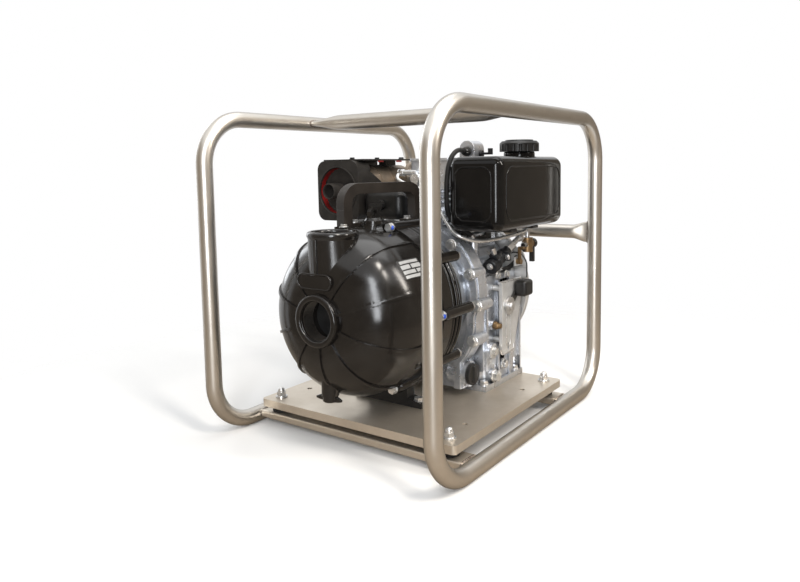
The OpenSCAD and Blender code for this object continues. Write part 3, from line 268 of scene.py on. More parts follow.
def hexagon(across: float) -> np.ndarray:
    """The corners of a hexagon: w / sqrt 3 (cos 60k, sin 60k), from its width w across flats."""
    a = np.radians(np.arange(6) * 60)
    return across / math.sqrt(3) * np.c_[np.cos(a), np.sin(a)]


def rounded(width: float, depth: float, radius: float, steps: int) -> np.ndarray:
    """The outline of a rectangle with round corners: its corners' centres + r (cos a, sin a).

    Args:
        width: its size in x.
        depth: its size in y.
        radius: radius of the corners.
        steps: points in each corner.

    Returns:
        Array of shape (4 steps, 2), about the origin.
    """
    corner = np.repeat([[1, 1], [-1, 1], [-1, -1], [1, -1]], steps, axis=0)
    a = (np.linspace(0, np.pi / 2, steps) + np.arange(4)[:, None] * np.pi / 2).ravel()
    return corner * [width / 2 - radius, depth / 2 - radius] + radius * np.c_[np.cos(a), np.sin(a)]


def closed(line: np.ndarray) -> np.ndarray:
    """A line with its first point once more at its end."""
    return np.vstack([line, line[:1]])


def together(parts: list[Surface]) -> Surface:
    """Joins surfaces.

    Args:
        parts: the surfaces.

    Returns:
        All of them as one.
    """
    whole = parts[0]
    for part in parts[1:]:
        whole = whole.joined(part)
    return whole


# Finishes


def shader_node(
    tree: bpy.types.NodeTree, kind: str, values: dict | None = None, wires: dict | None = None,
    **settings: object,
) -> bpy.types.Node:
    """Adds one shader node and wires it.

    Args:
        tree: the tree that gets it.
        kind: its type, without the word ShaderNode.
        values: value of each input that is set.
        wires: the socket that feeds each input that is wired.
        settings: values of its own properties, which are set first.

    Returns:
        The node.
    """
    made = tree.nodes.new("ShaderNode" + kind)
    for name, value in settings.items():
        setattr(made, name, value)
    for socket, value in (values or {}).items():
        made.inputs[socket].default_value = value
    for socket, source in (wires or {}).items():
        tree.links.new(source, made.inputs[socket])
    return made


class Grain(Enum):
    """The kinds of fine surface that a finish may have."""

    CAST = "cast"
    MOULDED = "moulded"
    BRUSHED = "brushed"


@dataclass(frozen=True)
class Finish:
    """One finish of the real object.

    Args:
        name: a maker's words for it.
        colour: base colour, linear.
        other: colour of its darker or stained patches.
        metal: 1 for bare metal.
        rough: mean roughness.
        spread: how far roughness wanders.
        grain: kind of fine surface.
        grain_size: size of the grain in millimetres.
        grain_height: height of the grain in millimetres.
        patch: size of the colour patches in millimetres.
        stretch: how the grain is drawn out along X, Y and Z.
        painted_corner_shade: painted shade: how dark the corners, creases and recesses are painted, from
            ambient occlusion, 0 to 1.
        wear: how bright the edges get, 0 to 1.
        dust: how much dust lies on upward faces, 0 to 1.
        specular: specular level of the base.
        rim: painted dark reflection: how far the colour darkens where the surface turns away from the view, 0
            to 1.
    """

    name: str
    colour: Colour
    other: Colour
    metal: float = 0.0
    rough: float = 0.4
    spread: float = 0.08
    grain: Grain = Grain.MOULDED
    grain_size: float = 1.2
    grain_height: float = 0.01
    patch: float = 60.0
    stretch: tuple[float, float, float] = (1.0, 1.0, 1.0)
    painted_corner_shade: float = 0.0
    wear: float = 0.0
    dust: float = 0.0
    specular: float = 0.5
    rim: float = 0.0


class Shades:
    """Shader node groups that several finishes share, and the materials made from finishes."""

    def __init__(self) -> None:
        """Builds the groups."""
        self.patches = self._patches()
        self.grains = {kind: self._grain(kind) for kind in Grain}
        self.dust = self._dust()
        self.made: dict[str, bpy.types.Material] = {}

    def _group(
        self, name: str, ins: list[tuple[str, str, float]], out: str
    ) -> tuple[bpy.types.NodeTree, dict[str, bpy.types.NodeSocket], bpy.types.NodeSocket]:
        """An empty group with named sockets.

        Args:
            name: the group's name.
            ins: name, kind and default of each input.
            out: name of its one output.

        Returns:
            The group, the sockets that carry its inputs, and the socket of its output.
        """
        tree = bpy.data.node_groups.new(name, "ShaderNodeTree")
        for label, kind, value in ins:
            sock = tree.interface.new_socket(label, in_out="INPUT", socket_type="NodeSocket" + kind)
            if kind == "Float":
                sock.default_value = value
        tree.interface.new_socket(out, in_out="OUTPUT", socket_type="NodeSocketFloat")
        given = tree.nodes.new("NodeGroupInput").outputs
        result = tree.nodes.new("NodeGroupOutput").inputs[out]
        return tree, {label: given[label] for label, _, _ in ins}, result

    def _patches(self) -> bpy.types.NodeTree:
        """Soft uneven patches: a broad noise, stretched from its middle range to 0 and 1.

        Returns:
            The group.
        """
        ins = [("Vector", "Vector", 0), ("Scale", "Float", 15)]
        tree, given, result = self._group("Uneven patches", ins, "Mask")
        broad = shader_node(tree, "TexNoise", {"Detail": 5, "Roughness": 0.6}, given)
        middle = {"From Min": 0.35, "From Max": 0.68}
        ramp = shader_node(tree, "MapRange", middle, {"Value": broad.outputs["Fac"]})
        tree.links.new(ramp.outputs["Result"], result)
        return tree

    def _grain(self, kind: Grain) -> bpy.types.NodeTree:
        """Fine surface of one kind.

        Cast metal is a cell pattern with noise, moulded plastic a fine noise, and brushed metal
        a noise that the finish draws out along the brushing.

        Args:
            kind: the kind.

        Returns:
            The group.
        """
        ins = [("Vector", "Vector", 0), ("Scale", "Float", 800)]
        tree, given, result = self._group("Grain " + kind.value, ins, "Height")
        height = shader_node(tree, "TexNoise", {"Detail": 3}, given).outputs["Fac"]
        if kind is Grain.CAST:
            cells = shader_node(tree, "TexVoronoi", wires=given).outputs["Distance"]
            height = shader_node(tree, "Math", wires={0: height, 1: cells}, operation="ADD").outputs[0]
        tree.links.new(height, result)
        return tree

    def _dust(self) -> bpy.types.NodeTree:
        """Dust on upward faces: the normal's height, broken up by noise.

        Returns:
            The group.
        """
        ins = [("Vector", "Vector", 0), ("Amount", "Float", 0.2)]
        tree, given, result = self._group("Settled dust", ins, "Mask")
        normal = shader_node(tree, "NewGeometry").outputs["Normal"]
        up = shader_node(tree, "SeparateXYZ", wires={0: normal}).outputs["Z"]
        lift = shader_node(tree, "MapRange", {"From Min": 0.3}, {"Value": up}).outputs["Result"]
        fine = {"Scale": 60, "Detail": 6}
        noise = shader_node(tree, "TexNoise", fine, {"Vector": given["Vector"]}).outputs["Fac"]
        broken = shader_node(tree, "Math", wires={0: lift, 1: noise}, operation="MULTIPLY").outputs[0]
        wires = {0: broken, 1: given["Amount"]}
        tree.links.new(shader_node(tree, "Math", wires=wires, operation="MULTIPLY").outputs[0], result)
        return tree

    def material(self, finish: Finish) -> bpy.types.Material:
        """The material of a finish, made once.

        Args:
            finish: the finish.

        Returns:
            Its material.
        """
        if finish.name in self.made:
            return self.made[finish.name]
        mat = bpy.data.materials.new(finish.name)
        mat.use_nodes = True
        tree = mat.node_tree
        shader = tree.nodes["Principled BSDF"]
        shader.inputs["Metallic"].default_value = finish.metal
        shader.inputs["Specular IOR Level"].default_value = finish.specular
        place = shader_node(tree, "TexCoord").outputs["Object"]
        patches = self._placed(tree, self.patches, place, {"Scale": 1000.0 / finish.patch})
        ends = {"A": (*finish.colour, 1), "B": (*finish.other, 1)}
        tone = shader_node(tree, "Mix", ends, {"Factor": patches}, data_type="RGBA").outputs["Result"]
        reach = {"To Min": finish.rough, "To Max": finish.rough + finish.spread}
        rough = shader_node(tree, "MapRange", reach, {"Value": patches}).outputs["Result"]
        # Painted shade: ambient occlusion darkens the colour in corners, creases and recesses.
        if finish.painted_corner_shade > 0:
            corner = shader_node(tree, "AmbientOcclusion", {"Distance": 0.012}, samples=4).outputs["AO"]
            levels = {"From Min": 0.25, "From Max": 0.85, "To Min": finish.painted_corner_shade, "To Max": 0.0}
            painted_shade_mask = shader_node(tree, "MapRange", levels, {"Value": corner})
            tone = self._mixed(tree, painted_shade_mask.outputs["Result"], tone, tuple(c * 0.12 for c in finish.other))
        if finish.wear > 0:
            point = shader_node(tree, "NewGeometry").outputs["Pointiness"]
            levels = {"From Min": 0.52, "From Max": 0.62, "To Max": finish.wear}
            edge = shader_node(tree, "MapRange", levels, {"Value": point})
            worn = tuple(min(1, c * 1.5 + 0.05) for c in finish.colour)
            tone = self._mixed(tree, edge.outputs["Result"], tone, worn)
        if finish.dust > 0:
            dust = self._placed(tree, self.dust, place, {"Amount": finish.dust})
            tone = self._mixed(tree, dust, tone, (0.33, 0.30, 0.26))
            wires = {0: rough, 1: dust}
            rough = shader_node(tree, "Math", wires=wires, operation="ADD", use_clamp=True).outputs[0]
        # Painted dark reflection: the colour darkens where the surface turns away from the view.
        if finish.rim > 0:
            facing = shader_node(tree, "LayerWeight", {"Blend": 0.35}).outputs["Facing"]
            levels = {"From Min": 0.25, "From Max": 0.9, "To Max": finish.rim}
            painted_dark_reflection = shader_node(tree, "MapRange", levels, {"Value": facing})
            tone = self._mixed(tree, painted_dark_reflection.outputs["Result"], tone, tuple(c * 0.3 for c in finish.other))
        tree.links.new(tone, shader.inputs["Base Color"])
        tree.links.new(rough, shader.inputs["Roughness"])
        drawn = shader_node(tree, "Mapping", {"Scale": finish.stretch}, {"Vector": place}).outputs["Vector"]
        grain = self._placed(tree, self.grains[finish.grain], drawn, {"Scale": 1000.0 / finish.grain_size})
        depth = {"Strength": 1.0, "Distance": finish.grain_height * MM}
        bump = shader_node(tree, "Bump", depth, {"Height": grain})
        tree.links.new(bump.outputs["Normal"], shader.inputs["Normal"])
        self.made[finish.name] = mat
        return mat

    def _placed(
        self, tree: bpy.types.NodeTree, kind: bpy.types.NodeTree, vector: bpy.types.NodeSocket,
        values: dict[str, float],
    ) -> bpy.types.NodeSocket:
        """Places a shared group in a material.

        Args:
            tree: the material's tree.
            kind: the group.
            vector: the coordinates that it reads.
            values: values of its other inputs.

        Returns:
            The socket of its output.
        """
        return shader_node(tree, "Group", values, {"Vector": vector}, node_tree=kind).outputs[0]

    def _mixed(
        self, tree: bpy.types.NodeTree, mask: bpy.types.NodeSocket, tone: bpy.types.NodeSocket,
        other: Colour,
    ) -> bpy.types.NodeSocket:
        """Mixes a second colour over a tone.

        Args:
            tree: the material's tree.
            mask: how much of the second colour shows.
            tone: the first colour.
            other: the second colour.

        Returns:
            The socket of the mixed tone.
        """
        second = {"B": (*other, 1)}
        wires = {"Factor": mask, "A": tone}
        return shader_node(tree, "Mix", second, wires, data_type="RGBA").outputs["Result"]


STAINLESS = Finish(
    "Polished stainless tube", (0.76, 0.73, 0.68), (0.64, 0.60, 0.54), metal=1, rough=0.3, spread=0.12,
    grain=Grain.BRUSHED, grain_size=2.5, grain_height=0.014, patch=90, stretch=(1, 0.12, 1), rim=0.75
)
UPRIGHT = Finish(
    "Polished stainless bar", (0.76, 0.73, 0.68), (0.64, 0.60, 0.54), metal=1, rough=0.3, spread=0.12,
    grain=Grain.BRUSHED, grain_size=2.5, grain_height=0.014, patch=90, stretch=(0.12, 1, 1), rim=0.75
)
WELD = Finish(
    "Weld bead", (0.34, 0.30, 0.26), (0.16, 0.12, 0.10), metal=1, rough=0.35, spread=0.2,
    grain=Grain.CAST, grain_size=2.0, grain_height=0.08, patch=6, painted_corner_shade=0.4
)
PLATE = Finish(
    "Brushed stainless sheet", (0.74, 0.67, 0.57), (0.58, 0.51, 0.42), metal=0.85, rough=0.34, spread=0.16,
    grain=Grain.BRUSHED, grain_size=1.2, grain_height=0.014, patch=120, stretch=(0.1, 1, 1), rim=0.2
)
FASTENER = Finish(
    "Bright stainless fastener", (0.84, 0.84, 0.83), (0.60, 0.59, 0.57), metal=0.85, rough=0.24, spread=0.15,
    grain_size=0.8, grain_height=0.01, patch=12, painted_corner_shade=0.35, rim=0.4
)
PLASTIC = Finish(
    "Black glass filled plastic", (0.006, 0.005, 0.0043), (0.010, 0.0085, 0.0072), rough=0.15, spread=0.12,
    grain_size=1.4, grain_height=0.010, patch=45, dust=0.02, wear=0.06, specular=0.55
)
TRIM = Finish(
    "Black moulded trim", (0.008, 0.008, 0.008), (0.014, 0.013, 0.012), rough=0.34, spread=0.12,
    grain_size=0.9, grain_height=0.02, patch=30, dust=0.03, wear=0.06, specular=0.42
)
HANDLE = Finish(
    "Moulded handle plastic", (0.012, 0.009, 0.007), (0.020, 0.015, 0.011), rough=0.4, spread=0.1,
    grain_size=1.0, grain_height=0.02, patch=30, dust=0.04, wear=0.08, specular=0.42
)
RUBBER = Finish(
    "Black rubber", (0.010, 0.010, 0.010), (0.02, 0.019, 0.018), rough=0.5, spread=0.15,
    grain_size=0.8, grain_height=0.02, patch=20, dust=0.1, specular=0.2
)
CASTING = Finish(
    "Die cast aluminium", (0.80, 0.82, 0.86), (0.56, 0.59, 0.64), metal=0.85, rough=0.24, spread=0.2,
    grain=Grain.CAST, grain_size=1.6, grain_height=0.022, patch=18, painted_corner_shade=0.8, wear=0.3, rim=0.3
)
PAINT = Finish(
    "Gloss black paint", (0.0045, 0.0042, 0.004), (0.007, 0.0065, 0.006), rough=0.09, spread=0.06,
    grain_size=7, grain_height=0.012, patch=60, dust=0.015, specular=0.28
)
GUARD = Finish(
    "Baked guard paint", (0.016, 0.0145, 0.013), (0.03, 0.026, 0.022), rough=0.36, spread=0.14,
    grain_size=1.4, grain_height=0.02, patch=25, dust=0.06, wear=0.2, specular=0.22
)
HEATED = Finish(
    "Heat tinted muffler skin", (0.42, 0.34, 0.26), (0.24, 0.195, 0.15), metal=0.75, rough=0.32, spread=0.16,
    grain=Grain.BRUSHED, grain_size=2.0, grain_height=0.02, patch=35, dust=0.06, rim=0.4
)
SOOT = Finish(
    "Sooted steel", (0.02, 0.018, 0.016), (0.035, 0.03, 0.026), rough=0.6, spread=0.2,
    grain=Grain.CAST, grain_size=1.5, grain_height=0.05, patch=12, specular=0.2
)
RED = Finish(
    "Red baked paint", (0.24, 0.010, 0.009), (0.12, 0.008, 0.007), rough=0.45, spread=0.15,
    grain_size=1.5, grain_height=0.08, patch=6, painted_corner_shade=0.4, specular=0.3
)
SILVER = Finish(
    "Silver painted sheet", (0.60, 0.59, 0.57), (0.44, 0.43, 0.41), metal=0.45, rough=0.32, spread=0.14,
    grain_size=0.8, grain_height=0.012, patch=30, painted_corner_shade=0.6, wear=0.2, rim=0.3
)
BRIGHT = Finish(
    "Bright steel", (0.86, 0.86, 0.86), (0.62, 0.61, 0.60), metal=0.9, rough=0.24, spread=0.16,
    grain_size=1.0, grain_height=0.015, patch=15, painted_corner_shade=0.45, rim=0.4
)
PASSIVATED = Finish(
    "Yellow passivated steel", (0.36, 0.24, 0.12), (0.20, 0.13, 0.07), metal=0.9, rough=0.34, spread=0.16,
    grain_size=1.0, grain_height=0.02, patch=9, painted_corner_shade=0.6, rim=0.3
)
IRON = Finish(
    "Machined iron", (0.30, 0.29, 0.28), (0.18, 0.17, 0.16), metal=0.9, rough=0.4, spread=0.15,
    grain=Grain.CAST, grain_size=1.5, grain_height=0.03, patch=20
)
BLACKED = Finish(
    "Black oxide steel", (0.012, 0.012, 0.013), (0.03, 0.03, 0.032), metal=0.3, rough=0.28, spread=0.16,
    grain_size=1.2, grain_height=0.03, patch=9, wear=0.35, painted_corner_shade=0.3, specular=0.3
)
CERAMIC = Finish(
    "Ceramic seat", (0.75, 0.72, 0.65), (0.70, 0.66, 0.58), rough=0.25, grain_size=0.8, grain_height=0.005
)
BLUE = Finish("Torque mark", (0.02, 0.09, 0.55), (0.015, 0.07, 0.45), rough=0.35, grain_size=1, patch=4)
WHITE = Finish(
    "Printed white field", (0.42, 0.42, 0.41), (0.34, 0.34, 0.33), rough=0.4, grain_size=1, patch=8
)


class Shop:
    """Puts meshes and finishes on the model."""

    def __init__(self) -> None:
        """Makes the shared shading groups."""
        self.shades = Shades()

    def add(
        self, name: str, surface: Surface, finish: Finish, body: str = ROOT,
        stands_for: tuple[str, ...] = (), slot: str | None = None, crease: float = 40.0,
        bevel: float = 0.0,
    ) -> bpy.types.Object:
        """Makes one piece from a surface.

        Args:
            name: the piece's name.
            surface: its points and faces, in millimetres.
            finish: its finish.
            body: the body that it rides on.
            stands_for: CAD nodes that it replaces.
            slot: a material slot of the record; not used.
            crease: angle past which an edge stays sharp, in degrees.
            bevel: width of a bevel on sharp edges, in millimetres.

        Returns:
            The new object.
        """
        mesh = surface.mesh(name)
        work = bmesh.new()
        work.from_mesh(mesh)
        bmesh.ops.remove_doubles(work, verts=work.verts, dist=2e-6)
        bmesh.ops.dissolve_degenerate(work, edges=work.edges, dist=1e-6)
        bmesh.ops.recalc_face_normals(work, faces=work.faces)
        work.to_mesh(mesh)
        work.free()
        return self._finished(name, mesh, finish, body, stands_for, crease, bevel)

    def _finished(
        self, name: str, mesh: bpy.types.Mesh, finish: Finish, body: str, stands_for: tuple[str, ...],
        crease: float, bevel: float,
    ) -> bpy.types.Object:
        """Shades, bevels and dresses a mesh, and ties it to its body.

        Args:
            name: the piece's name.
            mesh: its mesh, in metres.
            finish: its finish.
            body: the body that it rides on.
            stands_for: CAD nodes that it replaces.
            crease: sharp angle in degrees.
            bevel: bevel width in millimetres.

        Returns:
            The new object.
        """
        mesh.shade_smooth()
        mesh.set_sharp_from_angle(angle=math.radians(crease))
        mesh.materials.clear()
        mesh.materials.append(self.shades.material(finish))
        piece = bpy.data.objects.new(name, mesh)
        bpy.context.scene.collection.objects.link(piece)
        if bevel > 0:
            edge = piece.modifiers.new("Softened edges", "BEVEL")
            edge.width = bevel * MM
            edge.segments = 2
            edge.limit_method = "ANGLE"
            edge.angle_limit = math.radians(crease)
            edge.harden_normals = True
            edge.use_clamp_overlap = True
            edge.miter_outer = "MITER_ARC"
        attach(piece, body)
        if stands_for:
            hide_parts(*stands_for)
        LOG.info("made %s in %s", name, finish.name)
        return piece

    def dress(self, node: str, finish: Finish, bevel: float) -> bpy.types.Object:
        """Replaces a CAD node by a copy with merged faces, soft edges and a finish.

        Args:
            node: the CAD node.
            finish: its finish.
            bevel: width of the softened edges, in millimetres.

        Returns:
            The new object.
        """
        mesh = frame["nodes"][node].data.copy()
        work = bmesh.new()
        work.from_mesh(mesh)
        bmesh.ops.remove_doubles(work, verts=work.verts, dist=5e-6)
        bmesh.ops.dissolve_limit(
            work, angle_limit=math.radians(0.6), verts=work.verts, edges=work.edges, delimit={"NORMAL"}
        )
        work.to_mesh(mesh)
        work.free()
        name = node + "_dressed"
        return self._finished(name, mesh, finish, body_of(node), (node,), DRESS_CREASE, bevel)

    def accent(
        self, piece: bpy.types.Object, finish: Finish, low: tuple[float, ...], high: tuple[float, ...]
    ) -> None:
        """Gives the faces whose centres lie in a box a second finish.

        Args:
            piece: the piece.
            finish: the second finish.
            low: lowest corner of the box, in millimetres.
            high: highest corner of the box.
        """
        mesh = piece.data
        centres = np.empty(len(mesh.polygons) * 3, np.float32)
        mesh.polygons.foreach_get("center", centres)
        centres = centres.reshape(-1, 3) / MM
        held = np.all((centres > np.array(low)) & (centres < np.array(high)), axis=1)
        index = np.empty(len(mesh.polygons), np.int32)
        mesh.polygons.foreach_get("material_index", index)
        index[held] = len(mesh.materials)
        mesh.materials.append(self.shades.material(finish))
        mesh.polygons.foreach_set("material_index", index)


# The studio


@dataclass
class Studio:
    """Camera, floor, world and lamps."""

    camera_at: tuple[float, float, float] = (0.6661, -0.9548, 0.4187)
    yaw: float = 34.981
    pitch: float = -5.554
    roll: float = 0.906
    lens: float = 31.146
    shift: tuple[float, float] = (-0.02159, -0.06897)
    curtain_r: float = 3.0
    curtain_turn: tuple[float, float] = (-150.0, 88.0)
    curtain_z: tuple[float, float] = (-1.4, 2.4)
    floor_half: float = 2.6

    def build(self) -> None:
        """Makes the whole studio."""
        self.camera()
        self.world()
        self.floor()
        self.flag()
        self.lamps()
        bpy.context.scene.view_settings.view_transform = "Standard"

    def camera(self) -> None:
        """The photograph's camera, from its yaw, pitch and roll."""
        yaw, pitch, roll = (math.radians(a) for a in (self.yaw, self.pitch, self.roll))
        ahead = Vector((-math.sin(yaw) * math.cos(pitch), math.cos(yaw) * math.cos(pitch), math.sin(pitch)))
        right = Vector((math.cos(yaw), math.sin(yaw), 0))
        down = ahead.cross(right)
        x = math.cos(roll) * right + math.sin(roll) * down
        y = -(-math.sin(roll) * right + math.cos(roll) * down)
        turn = Matrix((x, y, -ahead)).transposed()
        data = bpy.data.cameras.new("Photograph camera")
        data.lens = self.lens
        data.sensor_width = 36
        data.shift_x, data.shift_y = self.shift
        data.clip_end = 20
        camera = bpy.data.objects.new("Photograph camera", data)
        camera.matrix_world = Matrix.Translation(self.camera_at) @ turn.to_4x4()
        bpy.context.scene.collection.objects.link(camera)
        bpy.context.scene.camera = camera

    def world(self) -> None:
        """A white surround for the camera and for gloss, and a softer one for diffuse light."""
        world = bpy.data.worlds.new("Studio")
        bpy.context.scene.world = world
        world.use_nodes = True
        tree = world.node_tree
        back = tree.nodes["Background"]
        rays = shader_node(tree, "LightPath").outputs
        seen = {0: rays["Is Camera Ray"], 1: rays["Is Glossy Ray"]}
        either = shader_node(tree, "Math", wires=seen, operation="MAXIMUM").outputs[0]
        seen = {0: either, 1: rays["Is Transmission Ray"]}
        any_of = shader_node(tree, "Math", wires=seen, operation="MAXIMUM").outputs[0]
        level = shader_node(tree, "MapRange", {"To Min": 0.42, "To Max": 1.0}, {"Value": any_of})
        tree.links.new(level.outputs["Result"], back.inputs["Strength"])
        back.inputs["Color"].default_value = (1, 1, 1, 1)

    def staged(self, name: str, surface: Surface, rough: float, specular: float) -> bpy.types.Object:
        """Makes one piece of the studio, with a plain material of the same name.

        Args:
            name: its name.
            surface: its points and faces, in metres.
            rough: roughness of its material.
            specular: specular level of its material.

        Returns:
            The new object.
        """
        mesh = surface.mesh(name, 1.0)
        mat = bpy.data.materials.new(name)
        mat.use_nodes = True
        shader = mat.node_tree.nodes["Principled BSDF"]
        shader.inputs["Roughness"].default_value = rough
        shader.inputs["Specular IOR Level"].default_value = specular
        mesh.materials.append(mat)
        piece = bpy.data.objects.new(name, mesh)
        bpy.context.scene.collection.objects.link(piece)
        return piece

    def floor(self) -> None:
        """A pale floor that keeps the shadow and fades into the surround, and is warmer in reflections."""
        s = self.floor_half
        corners = np.array([(-s, -s, 0), (s, -s, 0), (s, s, 0), (-s, s, 0)])
        floor = self.staged("Floor", Surface(corners, [np.arange(4)[None, :]]), 0.7, 0.1)
        tree = floor.data.materials[0].node_tree
        shader = tree.nodes["Principled BSDF"]
        tones = {"A": (0.95, 0.95, 0.94, 1), "B": (0.36, 0.30, 0.235, 1)}
        glossy = {"Factor": shader_node(tree, "LightPath").outputs["Is Glossy Ray"]}
        tone = shader_node(tree, "Mix", tones, glossy, data_type="RGBA")
        tree.links.new(tone.outputs["Result"], shader.inputs["Base Color"])
        place = shader_node(tree, "TexCoord").outputs["Object"]
        far = shader_node(tree, "VectorMath", wires={0: place}, operation="LENGTH").outputs["Value"]
        reach = {"From Min": 0.35, "From Max": 1.15, "To Min": 1.0, "To Max": 0.0}
        fade = shader_node(tree, "MapRange", reach, {"Value": far}, interpolation_type="SMOOTHSTEP")
        tree.links.new(fade.outputs["Result"], shader.inputs["Alpha"])

    def flag(self) -> None:
        """A warm curtain round the camera's side, that only reflections see.

        It is c(a, z) = (R cos a, R sin a, z), with R the curtain's radius.
        """
        a = np.radians(np.linspace(*self.curtain_turn, 80))
        x, y = self.curtain_r * np.cos(a), self.curtain_r * np.sin(a)
        z = np.array(self.curtain_z)[:, None]
        wall = grid(np.stack(np.broadcast_arrays(x, y, z), -1))
        flag = self.staged("Studio flag", wall, 1.0, 0.0)
        shader = flag.data.materials[0].node_tree.nodes["Principled BSDF"]
        shader.inputs["Base Color"].default_value = (0.40, 0.335, 0.265, 1)
        flag.visible_camera = False
        flag.visible_diffuse = False
        flag.visible_shadow = False

    def lamps(self) -> None:
        """A tall cool strip beside the camera, two warm ones high at the right, and soft fills."""
        cool, warm = (0.93, 0.96, 1.0), (1.0, 0.93, 0.85)
        self.lamp("Door strip", (1.30, -2.05, 1.15), (0, -0.17, 1.15), (0.5, 2.3), 50, cool)
        self.lamp("High strip", (1.27, -0.63, 2.1), (0.05, -0.2, 0.25), (0.26, 0.8), 22, warm)
        self.lamp("Side strip", (1.75, 0.42, 1.55), (0.05, -0.2, 0.25), (0.28, 1.0), 20, warm)
        self.lamp("Overhead box", (0.1, 0.15, 2.2), (0, 0, 0.2), (1.3, 1.3), 11)
        self.lamp("Left fill", (-2.2, 0.4, 0.9), (0, 0, 0.25), (0.7, 1.4), 10, cool)

    def lamp(
        self, name: str, at: tuple[float, ...], aim: tuple[float, ...], size: tuple[float, float],
        power: float, colour: Colour = (1.0, 1.0, 1.0),
    ) -> None:
        """One rectangular lamp.

        Args:
            name: its name.
            at: where it stands, in metres.
            aim: the point that it faces.
            size: width and height.
            power: watts.
            colour: colour of its light.
        """
        data = bpy.data.lights.new(name, "AREA")
        data.shape = "RECTANGLE"
        data.size, data.size_y = size
        data.energy = power
        data.color = colour
        lamp = bpy.data.objects.new(name, data)
        heading = Vector(aim) - Vector(at)
        lamp.rotation_mode = "QUATERNION"
        lamp.rotation_quaternion = heading.to_track_quat("-Z", "Y")
        lamp.location = at
        bpy.context.scene.collection.objects.link(lamp)


# Shapes that several sub-assemblies use


def rounded_block(low: tuple[float, ...], high: tuple[float, ...], radius: float, steps: int) -> Surface:
    """A box with every edge round.

    p = s (half - r) + r n, with n on the unit sphere and s the signs of its octant.

    Args:
        low: lowest corner.
        high: highest corner.
        radius: radius of the edges.
        steps: points in each quarter turn.

    Returns:
        The closed surface.
    """
    lo, hi = np.array(low, float), np.array(high, float)
    half, centre = (hi - lo) / 2, (hi + lo) / 2
    quarter = np.linspace(0, np.pi / 2, steps)
    around = np.concatenate([quarter + k * np.pi / 2 for k in range(4)])
    side_x = np.repeat([1, -1, -1, 1], steps)
    side_y = np.repeat([1, 1, -1, -1], steps)
    up = np.concatenate([quarter - np.pi / 2, quarter])
    side_z = np.repeat([-1, 1], steps)
    x = side_x * (half[0] - radius) + radius * np.cos(up)[:, None] * np.cos(around)
    y = side_y * (half[1] - radius) + radius * np.cos(up)[:, None] * np.sin(around)
    z = np.repeat((side_z * (half[2] - radius) + radius * np.sin(up))[:, None], len(around), 1)
    pts = np.stack([x, y, z], -1)
    middle = np.zeros((1, len(around), 3))
    first, last = middle.copy(), middle.copy()
    first[..., 2], last[..., 2] = -half[2], half[2]
    return grid(np.concatenate([first, pts, last]) + centre, close_v=True)


def bolt(at: tuple[float, float, float], axis: str, size: float, turn: float = 0.0) -> Surface:
    """A flanged hexagon bolt head with a dished top, seated on its local z = 0.

    Args:
        at: centre of the seat.
        axis: the way that the head points.
        size: thread diameter.
        turn: degrees about its axis.

    Returns:
        The surface.
    """
    r = size
    flange = lathe([(0, 0), (1.15 * r, 0), (1.15 * r, 0.12 * r), (0.95 * r, 0.25 * r), (0, 0.25 * r)], 28)
    head = prism(hexagon(1.6 * r), 0.72 * r)
    dish = lathe([(0.74 * r, 0.70 * r), (0.70 * r, 0.76 * r), (0.45 * r, 0.72 * r), (0, 0.70 * r)], 24)
    return together([flange, head, dish]).placed(at, axis, turn)


def thread(radius: float, pitch: float, turns: int, height: float) -> Surface:
    """A screw thread's ridge along local z, pointing to the axis.

    The crest follows r(a) = R - h s(a), z = p a / 2 pi, where s rises and falls to 0 at the two ends.

    Args:
        radius: radius of the wall that carries it.
        pitch: rise in one turn.
        turns: number of turns.
        height: height of the ridge.

    Returns:
        A closed three sided ridge.
    """
    a = np.linspace(0, 2 * np.pi * turns, 60 * turns)
    ease = np.clip(np.minimum(a, a[-1] - a) / 2.5, 0, 1)
    foot = radius + 0.6 * ease
    r = np.stack([foot, radius - height * ease, foot], 1)
    z = pitch * a[:, None] / (2 * np.pi) + ease[:, None] * pitch * np.array([-0.42, 0, 0.42])
    pts = np.stack([r * np.cos(a)[:, None], r * np.sin(a)[:, None], z], -1)
    return grid(pts, close_v=True)


def ring(radius: float, thick: float, height: float, segments: int = 48) -> Surface:
    """A torus about local z: (R + t cos v) cos u, (R + t cos v) sin u, h + t sin v."""
    v = np.linspace(0, 2 * np.pi, 17)
    return lathe([(radius + thick * math.cos(q), height + thick * math.sin(q)) for q in v], segments)


def hose_clamp(at: np.ndarray, heading: np.ndarray, radius: float) -> Surface:
    """A spring band round a hose, with its two tangs.

    Args:
        at: centre of the band.
        heading: direction of the hose there.
        radius: radius of the hose.

    Returns:
        The surface.
    """
    r = radius + 0.25
    band = lathe([(r, -3), (r + 0.9, -3), (r + 0.9, 3), (r, 3), (r, -3)], 28)
    tang = rounded_block((r, -2.6, -1.6), (r + 3.6, -1.6, 1.6), 0.4, 3)
    other = Surface(tang.points * np.array([1, -1, 1]), [f[:, ::-1] for f in tang.faces])
    turn = Vector(heading).to_track_quat("Z", "Y").to_matrix().to_4x4()
    return together([band, tang, other]).moved(Matrix.Translation(Vector(at)) @ turn)


def body_of(node: str) -> str:
    """Name of the body that a CAD node rides on."""
    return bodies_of(frame["nodes"][node])[0]


# Sub-assemblies


